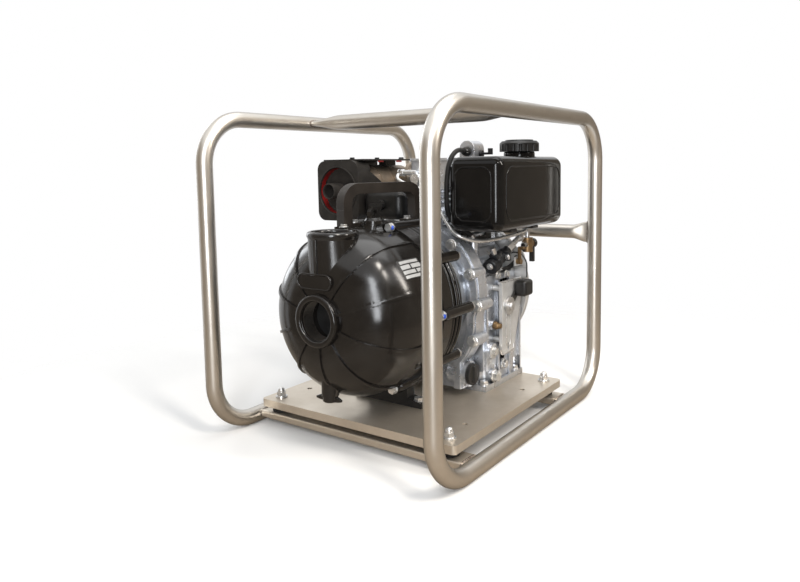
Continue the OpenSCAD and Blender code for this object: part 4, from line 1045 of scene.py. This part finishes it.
@dataclass
class RollFrame:
    """Two hoops of bent stainless tube, joined by flat ended bars and cross members."""

    shop: Shop
    tube_r: float = 12.7
    hoop_x: float = 206.8
    hoop_y: float = 270.6
    low: float = 12.7
    high: float = 500.7
    bend: float = 73.0
    flat: tuple[float, float] = (19.0, 5.0)
    tapers: tuple[float, float] = (66.0, 42.0)
    bar_y: float = -30.0
    rear_z: float = 297.0
    mount_x: float = 164.8
    mount_y: tuple[float, float] = (-168.3, 141.6)

    def build(self) -> None:
        """Builds hoops, bars, welds and the plate's dressing."""
        for name, x in (("left_hoop", -self.hoop_x), ("right_hoop", self.hoop_x)):
            self.shop.add(name + "_tube", self.hoop(x), STAINLESS, stands_for=(name,), crease=80)
            LOG.info("bent %s", name)
        top = self.bar(self.tapers[0]).placed((0, self.bar_y, self.high))
        self.shop.add("lifting_bar_tube", top, UPRIGHT, stands_for=("lifting_bar",), crease=70)
        rear = self.bar(self.tapers[1]).moved(
            Matrix.Translation((0, self.hoop_y, self.rear_z)) @ Matrix.Rotation(math.pi / 2, 4, "X")
        )
        self.shop.add("rear_bar_tube", rear, UPRIGHT, stands_for=("rear_bar",), crease=70)
        self.shop.add("frame_weld_beads", self.welds(), WELD, slot="left_hoop", crease=80)
        LOG.info("welded the frame")
        for node in ("front_cross_member", "rear_cross_member"):
            self.shop.dress(node, PLATE, 0.8)
        self.shop.dress("base_plate", PLATE, 1.4)
        self.shop.dress("rubber_mounts", RUBBER, 0.8)
        self.shop.dress("mount_bolts", FASTENER, 0.5)
        self.shop.add("mount_bolt_washers", self.washers(), FASTENER, slot="mount_bolts")

    def hoop(self, x: float) -> Surface:
        """One hoop: p(u, v) = c(u) + r (cos v X + sin v n(u)), with c a rounded rectangle in Y and Z.

        Args:
            x: its place across the frame.

        Returns:
            The closed tube.
        """
        a = np.concatenate([np.linspace(0, 90, 25) + 90 * k for k in range(4)])
        n = np.stack([np.cos(np.radians(a)), np.sin(np.radians(a))], 1)
        c = np.array(rounded(2 * self.hoop_y, self.high - self.low, self.bend, 25))
        v = np.linspace(0, 2 * np.pi, 40, endpoint=False)
        out = self.tube_r * np.sin(v)[None, :, None]
        flat = c[:, None, :] + out * n[:, None, :]
        across = np.broadcast_to(x + self.tube_r * np.cos(v), flat.shape[:2])
        pts = np.stack([across, flat[..., 0], flat[..., 1] + (self.high + self.low) / 2], -1)
        return grid(pts, close_u=True, close_v=True)

    def bar(self, taper: float) -> Surface:
        """A tube along X that is pressed flat at both ends.

        The section is |y / w|^n + |z / t|^n = 1. Its half width w, half thickness t and power n go from
        those of the round tube to those of the pressed end over the taper.

        Args:
            taper: length of the pressed stretch, in millimetres.

        Returns:
            The tube, closed inside the hoops.
        """
        x = np.concatenate([np.linspace(-1, -0.6, 28), np.linspace(-0.58, 0.58, 9), np.linspace(0.6, 1, 28)])
        x = x * (self.hoop_x - 4)
        s = np.clip((np.abs(x) - (self.hoop_x - taper)) / (taper - 14), 0, 1)
        s = s * s * (3 - 2 * s)
        w = (self.tube_r * (1 - s) + self.flat[0] * s)[:, None]
        t = (self.tube_r * (1 - s) + self.flat[1] * s)[:, None]
        power = (2 / (2 + 1.1 * s))[:, None]
        v = np.linspace(0, 2 * np.pi, 48, endpoint=False)[None, :]
        y = w * np.sign(np.cos(v)) * np.abs(np.cos(v)) ** power
        z = t * np.sign(np.sin(v)) * np.abs(np.sin(v)) ** power
        pts = np.stack([np.broadcast_to(x[:, None], y.shape), y, z], -1)
        ends = [np.repeat(np.array([[[q, 0, 0]]]), 48, 1) for q in (x[0], x[-1])]
        return grid(np.concatenate([ends[0], pts, ends[1]]), close_v=True)

    def bead(
        self, half_w: float, half_t: float, side: int, at: tuple[float, float], upright: bool
    ) -> Surface:
        """A rippled weld round the end of a bar, on the surface of the hoop's tube.

        Its line is x = X - sqrt(R^2 - t^2), with t the offset across the tube, and its radius ripples
        along it like the steps of a weld.

        Args:
            half_w: half the bar's width.
            half_t: half the bar's thickness.
            side: 1 for the right hoop and -1 for the left one.
            at: the bar's place in Y and Z.
            upright: whether the tube that it meets stands upright.

        Returns:
            The bead.
        """
        v = np.linspace(0, 2 * np.pi, 121)
        w = half_w * np.sign(np.cos(v)) * np.abs(np.cos(v)) ** 0.7
        t = half_t * np.sign(np.sin(v)) * np.abs(np.sin(v)) ** 0.7
        x = side * (self.hoop_x - np.sqrt(np.maximum(self.tube_r**2 - t**2, 0)))
        y, z = (at[0] + t, at[1] + w) if upright else (at[0] + w, at[1] + t)
        size = 1.7 + 0.35 * np.sin(v * 26)
        return tube(np.stack([x, y, z], 1), size, 8, caps=False)

    def welds(self) -> Surface:
        """All the beads of the frame.

        Returns:
            The beads of both bars and both cross members, as one surface.
        """
        beads = []
        for side in (-1, 1):
            beads.append(self.bead(*self.flat, side, (self.bar_y, self.high), False))
            beads.append(self.bead(*self.flat, side, (self.hoop_y, self.rear_z), True))
            beads += [self.bead(19, 6, side, (y, 16), False) for y in self.mount_y]
        return together(beads)

    def washers(self) -> Surface:
        """Spring washers under the four dome nuts."""
        places = [(x, y, 0) for x in (-self.mount_x, self.mount_x) for y in self.mount_y]
        return together([ring(7.2, 0.9, 46.6).placed(at) for at in places])


@dataclass
class PumpBody:
    """The two moulded casing halves with their ports, plugs, bolts and handle."""

    shop: Shop
    axis: float = 207.0
    port_r: float = 28.35
    tower: tuple[float, float, float] = (0.0, -214.0, 330.0)
    drain_at: tuple[float, float, float] = (-6.0, -222.0, 91.0)
    pitch: float = 2.309
    ring_y: float = -257.0
    shoulder: tuple[float, float, float] = (48.3, 78.0, -170.6)
    pad_y: float = -250.8
    bolt_circle: float = 131.0

    def build(self) -> None:
        """Builds the whole pump end."""
        for node, finish, bevel in (
            ("front_casing", PLASTIC, 0.9), ("rear_casing", PLASTIC, 0.9), ("casing_seal", RUBBER, 0),
            ("casing_bolts", FASTENER, 0.5), ("volute", TRIM, 0.5), ("impeller", TRIM, 0.5),
            ("seal_seat", CERAMIC, 0.5), ("seal_head", RUBBER, 0.5), ("check_valve", RUBBER, 0.5),
            ("pump_foot", TRIM, 0.5), ("priming_plug", PLASTIC, 1.0), ("carry_handle", HANDLE, 2.6),
        ):
            self.shop.dress(node, finish, bevel)
        body, node = body_of("drain_plug"), ("drain_plug",)
        self.shop.add("drain_plug_winged", self.drain(), PLASTIC, body=body, stands_for=node)
        lip = self.lip().placed((0, self.ring_y, self.axis), "-y")
        self.shop.add("suction_lip", lip, PLASTIC, slot="front_casing")
        crown = self.crown().placed(self.tower)
        self.shop.add("discharge_bead", crown, PLASTIC, slot="front_casing")
        self.shop.add("port_threads", self.threads(), PLASTIC, slot="front_casing", crease=30)
        self.shop.add("casing_relief", self.relief(), PLASTIC, slot="front_casing", crease=60)
        self.shop.add("rear_casing_rings", self.rings(), PLASTIC, slot="rear_casing", crease=60)
        self.name_plate()
        self.shop.add("torque_marks", self.marks(), BLUE, slot="casing_bolts")
        self.shop.add("handle_bolts", self.handle_bolts(), FASTENER, slot="flange_bolts")
        LOG.info("pump body built")

    def drain(self) -> Surface:
        """The drain plug: a round body, and two wings whose half width is w(t) = 5.8 - 4 t^2.

        Returns:
            The plug in its place.
        """
        body = lathe(
            [(0, -9.6), (9.6, -9.4), (11.3, -8), (11.5, -5.5), (11.3, -0.6), (8, -0.3), (8, 15.6), (0, 16)],
            48,
        )
        t = np.linspace(0, 1, 16)
        wings = []
        for side, reach in ((-1, 26.0), (1, 21.0)):
            path = np.stack([side * (6 + (reach - 6) * t), side * 0.1 * reach * t, -4.8 - 1.6 * t**1.5], 1)
            wing = tube(path, 5.8 - 4 * t**2, 20)
            flattened = wing.points * np.array([1, 0.62, 0.9]) - np.array([0, 0, 0.5])
            wings.append(Surface(flattened, wing.faces))
        return together([body, *wings]).placed(self.drain_at)

    def lip(self) -> Surface:
        """The rounded rim of the suction ring, about its axis, outward is +z."""
        return lathe(
            [(28.5, -3), (28.9, -0.4), (30.0, 0.7), (31.5, 1.2), (35.0, 1.2), (36.9, 0.5), (38.1, -1.2),
             (38.6, -4), (38.5, -7), (37.4, -8)],
            96,
        )

    def crown(self) -> Surface:
        """The rolled rim of the discharge tower, about its axis, from its top plane."""
        return lathe(
            [(28.5, -3), (28.9, -0.2), (30.0, 1.0), (31.8, 1.6), (34.6, 1.5), (36.8, 0.2), (37.9, -2.2),
             (37.8, -4.8), (36.8, -7.2), (36.1, -8.6), (35.8, -11)],
            96,
        )

    def threads(self) -> Surface:
        """The pipe threads, 11 to the inch, in both ports.

        Returns:
            Both threads.
        """
        suction = thread(self.port_r, self.pitch, 9, 1.1).placed((0, self.ring_y + 6, self.axis), "y")
        out = thread(self.port_r, self.pitch, 10, 1.1).placed((*self.tower[:2], 301.5))
        return suction.joined(out)

    def relief(self) -> Surface:
        """The tower's upright rib, and the raised rim of the oval pad between tower and ring.

        Returns:
            Both.
        """
        rib = rounded_block((-1.6, -252.0, 272), (1.6, -247, 322), 1.3, 5)
        line = rounded(62, 21, 9.5, 10)
        oval = np.c_[line[:, 0] - 5, np.full(len(line), self.pad_y), line[:, 1] + 262.5]
        gap = tube(oval[[-1, 0]], 1.1, 10)
        return together([rib, tube(oval, 1.1, 10, caps=False), gap])

    def rings(self) -> Surface:
        """Three moulded rings round the rear half."""
        rings = together([ring(128.6, 2.6, y, 160) for y in (-96, -86, -76)])
        return rings.placed((0, 0, self.axis), "y")

    def dome(self, y: np.ndarray) -> np.ndarray:
        """Radius of the front half on its round shoulder: R(y) = r0 + sqrt(r^2 - (y0 - y)^2).

        Args:
            y: places along the shaft.

        Returns:
            The radius at each.
        """
        inner, radius, start = self.shoulder
        drop = np.maximum(start - y, 0)
        return inner + np.sqrt(np.maximum(radius**2 - drop**2, 0))

    def patch(self, turn: tuple[float, float], reach: tuple[float, float], lift: float) -> Surface:
        """A thin patch that lies on the front half, closed by its own edge.

        Args:
            turn: first and last angle about the shaft, in degrees.
            reach: first and last Y.
            lift: height over the casing.

        Returns:
            The patch.
        """
        a, y = np.meshgrid(np.radians(np.linspace(*turn, 20)), np.linspace(*reach, 24), indexing="ij")
        r = self.dome(y) + lift
        r[[0, -1], :] -= lift + 0.3
        r[:, [0, -1]] = np.minimum(r[:, [0, -1]], self.dome(y[:, [0, -1]]) - 0.3)
        return grid(np.stack([r * np.cos(a), y, self.axis + r * np.sin(a)], -1))

    def name_plate(self) -> None:
        """A plain rating plate: dark border and blank pale fields, each by its angles and its reach in Y."""
        self.shop.add("rating_plate", self.patch((27, 42), (-190, -140), 0.6), TRIM, slot="front_casing")
        rows = [
            ((38.5, 40.8), (-187, -143)), ((34.6, 37.8), (-188, -168)), ((34.6, 37.8), (-166, -143)),
            ((31.2, 33.9), (-188, -160)), ((31.2, 33.9), (-158, -143)), ((28.2, 30.5), (-188, -143)),
        ]
        fields = together([self.patch(turn, reach, 0.9) for turn, reach in rows])
        self.shop.add("rating_plate_fields", fields, WHITE, slot="front_casing")

    def marks(self) -> Surface:
        """Blue paint beside the heads of two casing bolts.

        Returns:
            Both marks.
        """
        spots = []
        for a in (0, 72):
            x = self.bolt_circle * math.cos(math.radians(a))
            z = self.axis + self.bolt_circle * math.sin(math.radians(a))
            spots.append(rounded_block((x + 3.5, -136.5, z - 3.2), (x + 8.2, -131.2, z + 3.2), 2.2, 4))
        return together(spots)

    def handle_bolts(self) -> Surface:
        """The two bright bolts with washers beside the handle's front foot and the air cleaner."""
        heads = [bolt((-12, -176, 333.6), "z", 6, 12), bolt((-30, -130, 333.4), "z", 5, 40)]
        return together(heads)


@dataclass
class Exhaust:
    """Muffler, its guard and the tail pipe in the guard's round opening."""

    shop: Shop
    centre: tuple[float, float] = (-138.0, 382.0)
    face: float = -45.0
    guard_top: float = 436.6
    bolt_places: tuple[tuple[float, float], ...] = ((-148, 8), (-141, 71), (-112, 108))

    def build(self) -> None:
        """Builds the exhaust side."""
        self.shop.dress("muffler", HEATED, 0.8)
        self.shop.dress("muffler_guard", GUARD, 0.5)
        x, z = self.centre
        pipe = self.pipe().placed((x, self.face, z), "y")
        self.shop.add("tail_pipe", pipe, SOOT, stands_for=("exhaust_outlet",))
        self.shop.add("outlet_dish", self.dish().placed((x, self.face, z), "y"), GUARD, slot="exhaust_outlet")
        self.shop.add("outlet_wall", self.wall().placed((x, self.face, z), "y"), RED, slot="exhaust_outlet")
        bolts = [bolt((*at, self.guard_top), "z", 5, 20 * k) for k, at in enumerate(self.bolt_places)]
        self.shop.add("guard_bolts", together(bolts), BLACKED, slot="muffler_guard")
        dashes = [rounded_block((-88.5, y, 431), (-87.2, y + 16, 433.6), 0.5, 3) for y in (6, 60)]
        self.shop.add("guard_slots", together(dashes), RED, slot="muffler_guard")
        hem = rounded_block((-178.6, -8, 409), (-176.4, 118, 435.2), 0.9, 3)
        self.shop.add("guard_far_hem", hem, GUARD, slot="muffler_guard")
        LOG.info("exhaust built")

    def pipe(self) -> Surface:
        """The tail pipe, outside and inside, along its axis from the guard's face."""
        return lathe(
            [(13.2, 38), (13.5, -20), (13.5, -22.6), (13.1, -23.8), (12.4, -24), (11.9, -23.4), (11.7, -20),
             (11.7, 38), (13.2, 38)],
            56,
        )

    def dish(self) -> Surface:
        """The dark dish behind the opening, with a rolled lip on the guard's face."""
        return lathe(
            [(41.5, 1.5), (42.6, -0.6), (42.2, -1.8), (41.0, -2.0), (40.2, -1.0), (40.0, 0.6), (39.6, 13.5),
             (37, 15.2), (24, 17.5), (16, 17.8), (13.4, 17.8)],
            80,
        )

    def wall(self) -> Surface:
        """The painted band inside the opening: r = 39.45 + 0.06 sin 9a, with a broken inner edge.

        Returns:
            The band, about its axis.
        """
        a = np.linspace(0, 2 * np.pi, 120, endpoint=False)
        h = np.linspace(1.2, 12.6, 8)[:, None]
        edge = 1 + 0.12 * np.sin(5 * a) + 0.08 * np.sin(17 * a + 1)
        r = np.broadcast_to(39.45 + 0.06 * np.sin(9 * a), (8, 120))
        z = 1.2 + (h - 1.2) * edge
        return grid(np.stack([r * np.cos(a), r * np.sin(a), z], -1), close_v=True)


@dataclass
class FuelSystem:
    """Tank, cap, cock, hoses, injection pump, pipe and injector."""

    shop: Shop
    pipe_route: list[tuple[float, ...]] = field(default_factory=lambda: [
        (-38, 14, 412), (-43, 13, 411.5), (-46, 8, 408), (-42, 2, 401), (-28, 2, 394), (0, 6, 384),
        (24, 6, 367), (46, -1, 346), (60, -4, 330), (73, -6, 316), (84, -5, 309), (98, 8, 302),
        (108, 28, 299), (114, 60, 299), (117, 110, 301), (119, 150, 304), (118.5, 163, 305.5),
        (115, 169.5, 304.5), (111, 169.5, 301), (110, 165, 297.2), (110, 159.8, 295.2),
    ])
    return_route: list[tuple[float, ...]] = field(default_factory=lambda: [
        (42, 85.9, 447), (42, 80, 447), (47, 62, 449), (57, 32, 446), (64, 6, 436), (67.5, -9, 420),
        (68, -15, 398), (68, -16, 372), (67, -12, 350), (66, 2, 334), (69, 16, 321), (77, 33, 311),
        (84, 40, 303), (84, 40, 296.1),
    ])
    fuel_route: list[tuple[float, ...]] = field(default_factory=lambda: [
        (112, 175.9, 279), (112, 171, 278), (112, 165, 271), (111, 150, 258), (109, 134, 248),
        (107, 116, 243), (106, 100, 243), (106, 88, 246), (107, 80, 250),
    ])
    tank_low: tuple[float, float, float] = (73.0, -24.0, 318.0)
    tank_high: tuple[float, float, float] = (169.0, 217.0, 436.0)
    tank_round: float = 17.0
    cap_at: tuple[float, float] = (118.0, 142.0)
    cock_at: tuple[float, float] = (112.0, 186.0)
    hose_r: float = 4.0
    pipe_r: float = 3.3

    def build(self) -> None:
        """Builds the fuel side."""
        tank = rounded_block(self.tank_low, self.tank_high, self.tank_round, 12)
        neck = lathe([(27, -3), (27, 6), (26, 8.6), (21.5, 9), (21, 6), (21, -3)], 48)
        neck = neck.placed((*self.cap_at, self.tank_high[2]))
        spigot = lathe([(8, 6), (8, -7), (7.2, -8), (4.4, -8)], 24).placed((*self.cock_at, self.tank_low[2]))
        body = together([tank, neck, spigot])
        self.shop.add("fuel_tank_shell", body, PAINT, stands_for=("fuel_tank",), crease=50)
        self.shop.add("tank_panels", self.panels(), PAINT, slot="fuel_tank", crease=80)
        self.shop.dress("tank_bracket", GUARD, 0.6)
        self.shop.dress("fuel_cap", TRIM, 0.9)
        cock = self.shop.dress("fuel_cock", PASSIVATED, 0.6)
        self.shop.accent(cock, BRIGHT, (98, 172, 295), (126, 200, 319))
        self.shop.dress("cock_lever", TRIM, 1.4)
        self.hose("return_hose", self.return_route, self.hose_r, RUBBER, (4, -10))
        self.hose("fuel_hose", self.fuel_route, self.hose_r, RUBBER, (6, -8))
        self.hose("injector_pipe", self.pipe_route, self.pipe_r, FASTENER, ())
        nuts = [
            prism(hexagon(12), 12).placed((110, 152.5, 292.3), "y"),
            prism(hexagon(11), 8).placed((-37, 14, 412), "-x"),
            lathe([(6.5, 0), (6.5, 3), (4.2, 5), (3.2, 5)], 24).placed((-44, 13, 412), "-x"),
        ]
        self.shop.add("pipe_unions", together(nuts), BRIGHT, slot="injector_pipe", bevel=0.4)
        boot = lathe([(0, 0), (7.5, 0), (8.2, 3), (7.6, 8), (6.2, 13), (5.2, 15), (4, 15)], 32)
        self.shop.add("return_hose_boot", boot.placed((42, 94.9, 447), "-y"), RUBBER, slot="return_hose")
        self.shop.dress("injector", BRIGHT, 0.5)
        self.pump()
        LOG.info("fuel system built")

    def pump(self) -> None:
        """The injection pump, built about z and tilted into place: black barrel and bright union."""
        tilt = Matrix.Translation((110, 50, 252)) @ Matrix.Rotation(math.radians(-68.5), 4, "X")
        barrel = lathe(
            [(0, 0), (11.4, 0), (12.9, 1.4), (12.9, 8), (11.0, 9.4), (11.0, 17), (12.9, 18.4), (12.9, 23),
             (10.4, 24.4), (10.4, 31), (9.2, 32), (9.2, 37), (10.9, 38), (10.9, 47), (8.8, 48.2), (8.8, 63),
             (0, 63)],
            48,
        )
        clamp = rounded_block((-17, -8.5, 40.5), (17, 8.5, 46), 2.4, 5)
        rack = rounded_block((-6, -17.5, 12), (11, -8, 30), 2.6, 5)
        black = together([barrel, clamp, rack]).moved(tilt)
        node = "injection_pump"
        self.shop.add("injection_pump_barrel", black, BLACKED, stands_for=(node,), crease=35, bevel=0.3)
        union = prism(hexagon(16.6), 19).placed((0, 0, 64))
        collar = lathe([(0, 62), (8.2, 62.4), (8.2, 64.5), (0, 64.8)], 32)
        tail = lathe([(5.8, 82.6), (6, 84), (5.2, 98), (4.2, 117), (0, 118)], 32)
        cap = bolt((0, -2.5, 0.2), "-z", 5, 10)
        nuts = [bolt((q, 0, 40.8), "-z", 4.4, 15) for q in (-12.6, 12.6)]
        stub = tube(np.array([[3, -14, 18], [3, -24, 16], [3, -30, 15]], float), 4.6, 20)
        bright = together([union, collar, tail, cap, *nuts, stub]).moved(tilt)
        self.shop.add("injection_pump_union", bright, BRIGHT, slot=node, crease=35, bevel=0.3)

    def hose(
        self, node: str, route: list[tuple[float, ...]], radius: float, finish: Finish,
        clamps: tuple[int, ...],
    ) -> None:
        """A smooth hose or pipe that stands for its CAD node, with clamps at its ends.

        Args:
            node: the CAD node.
            route: the points that it passes.
            radius: its radius.
            finish: its finish.
            clamps: indices of path points that carry a clamp.
        """
        path = smooth_path(route, 8)
        self.shop.add(node + "_run", tube(path, radius, 24), finish, stands_for=(node,), crease=60)
        if clamps:
            heading = np.gradient(path, axis=0)
            bands = together([hose_clamp(path[k], heading[k], radius) for k in clamps])
            self.shop.add(node + "_clamps", bands, BRIGHT, slot=node)

    def panels(self) -> Surface:
        """The tank's pressed panel lines: a soft bead round its right and its front face.

        Returns:
            Both beads.
        """
        right = closed(rounded(200, 84, 20, 12))
        front = closed(rounded(64, 84, 16, 12))
        x, y, z = (np.array(self.tank_low) + np.array(self.tank_high)) / 2
        sunk = 0.4
        right = np.c_[np.full(len(right), self.tank_high[0] - sunk), right[:, 0] + y, right[:, 1] + z]
        front = np.c_[front[:, 0] + x, np.full(len(front), self.tank_low[1] + sunk), front[:, 1] + z]
        return tube(right, 1.5, 10, False).joined(tube(front, 1.5, 10, False))


@dataclass
class Controls:
    """Speed plate, levers and the plates behind them."""

    shop: Shop
    panel_x: float = 122.0
    axis: float = 207.0
    arch_middle: float = 107.0
    arch_r: float = 23.0

    def build(self) -> None:
        """Builds the controls."""
        outline = [(64, 18), (64, -96), (72, -106), (106, -104), (116, -90), (138, -20), (140, 18)]
        self.shop.dress("control_plate", SILVER, 0.5)
        edge = [(self.panel_x - 0.9, y, self.axis + z) for y, z in outline[1:]]
        line = closed(rounded(16, 64, 7.9, 10))
        rim = np.c_[np.full(len(line), self.panel_x + 0.2), line[:, 0] + 92, line[:, 1] + self.axis - 62]
        for name, piece in (
            ("hem", tube(smooth_path(edge, 6), 1.3, 12)),
            ("slot", tube(rim, 1.0, 10, False)),
            ("top_fold", tube(np.array([[120.1, 62.0, 225.0], [120.1, 141.5, 224.2]]), 2.2, 12)),
        ):
            self.shop.add("control_plate_" + name, piece, BRIGHT, slot="control_plate", crease=80)
        lever = self.shop.dress("speed_lever", BRIGHT, 0.6)
        self.shop.accent(lever, TRIM, (122.4, 107, 190), (150, 146, 228))
        self.shop.dress("stop_lever", PASSIVATED, 0.5)
        self.shop.dress("cowl_plate", SILVER, 0.6)
        self.rim()
        LOG.info("controls built")

    def rim(self) -> None:
        """The cowl's plate: a half round of radius R over a straight foot, with dark edging and a crease."""
        middle, radius, foot = self.arch_middle, self.arch_r, self.axis + 17
        a = np.radians(np.linspace(0, 180, 60))
        arch = np.c_[middle + radius * np.cos(a), self.axis + 37.5 + radius * np.sin(a)]
        line = np.vstack([[middle + radius, foot], arch, [middle - radius, foot]])
        face = prism(line, 1.6).placed((0, 147.9, 0), "-y")
        self.shop.add("cowl_plate_face", face, SILVER, slot="cowl_plate", bevel=0.3)
        path = np.c_[line[:, 0], np.full(len(line), 147.0), line[:, 1]]
        self.shop.add("cowl_plate_edging", tube(path, 1.3, 10), TRIM, slot="cowl_plate", crease=80)
        fold = tube(np.array([[85.5, 146.2, self.axis + 36], [128.5, 146.2, self.axis + 36]]), 0.6, 8)
        self.shop.add("cowl_plate_fold", fold, SILVER, slot="cowl_plate", crease=80)
        grommet = ring(5.0, 1.5, 0).placed((110.7, 146.8, 256.2), "y")
        self.shop.add("hose_grommet", grommet, RUBBER, slot="fuel_hose")


@dataclass
class Engine:
    """Castings, covers, starter and the parts inside."""

    shop: Shop
    axis: float = 207.0
    cover_y: float = -12.1
    cover_bolt: float = 8.6
    fitting_at: tuple[float, float, float] = (111.6, 60.0, 153.0)

    def build(self) -> None:
        """Builds the engine block."""
        for node, finish, bevel in (
            ("engine_adapter", CASTING, 1.0), ("crankcase", CASTING, 1.2), ("gear_cover", CASTING, 2.0),
            ("flange_bolts", FASTENER, 0.4), ("cylinder", CASTING, 0.4), ("cylinder_head", CASTING, 0.5),
            ("rocker_cover", CASTING, 1.2), ("decompression_lever", BLACKED, 0.6),
            ("air_cleaner_case", TRIM, 1.4), ("air_cleaner_cover", TRIM, 0.6),
            ("air_cleaner_knob", TRIM, 0.8),
            ("oil_filler_plug", TRIM, 1.0), ("oil_drain_bolt", FASTENER, 0.5),
            ("fan_housing", SILVER, 1.2), ("recoil_cover", GUARD, 0.8), ("starter_reel", TRIM, 0.5),
            ("starter_grip", TRIM, 1.0), ("crankshaft", BRIGHT, 0.5), ("flywheel", IRON, 0.6),
        ):
            self.shop.dress(node, finish, bevel)
        strainer = self.shop.dress("oil_strainer_cover", CASTING, 0.8)
        self.shop.accent(strainer, FASTENER, (115.8, 40, 98), (126, 62, 124))
        self.shop.add("case_side_bolts", self.bolts(), FASTENER, slot="flange_bolts")
        collar = prism(hexagon(12), 6)
        neck = lathe([(5.2, 0.2), (5.2, 8.7), (4.4, 9.7), (4.4, 13.2), (3.6, 13.8), (0, 13.8)], 28)
        fitting = collar.joined(neck).placed(self.fitting_at, "x")
        self.shop.add("oil_fitting", fitting, PASSIVATED, slot="stop_lever", bevel=0.3)
        LOG.info("engine dressed")

    def bolts(self) -> Surface:
        """Two bolts at the right side, and the larger ones round the cover on the pump's side.

        Returns:
            All the heads.
        """
        heads = [bolt((112, 72, 237), "x", 6, 10), bolt((112, 103, 235), "x", 6, 25)]
        spots = [
            (107, 42), (120, -8), (112, -66), (73, 88), (30, 117),
            (-30, 112), (-78, 84), (-108, 36), (-112, -20), (-92, -62),
        ]
        heads += [bolt((x, self.cover_y, self.axis + z), "-y", self.cover_bolt, 7 * x) for x, z in spots]
        return together(heads)


def main() -> None:
    """Builds the studio and every sub-assembly in order."""
    logging.basicConfig(level=logging.INFO, format="%(name)s: %(message)s")
    Studio().build()
    shop = Shop()
    for assembly in (RollFrame, PumpBody, Exhaust, FuelSystem, Controls, Engine):
        assembly(shop).build()


if __name__ == "__main__":
    main()
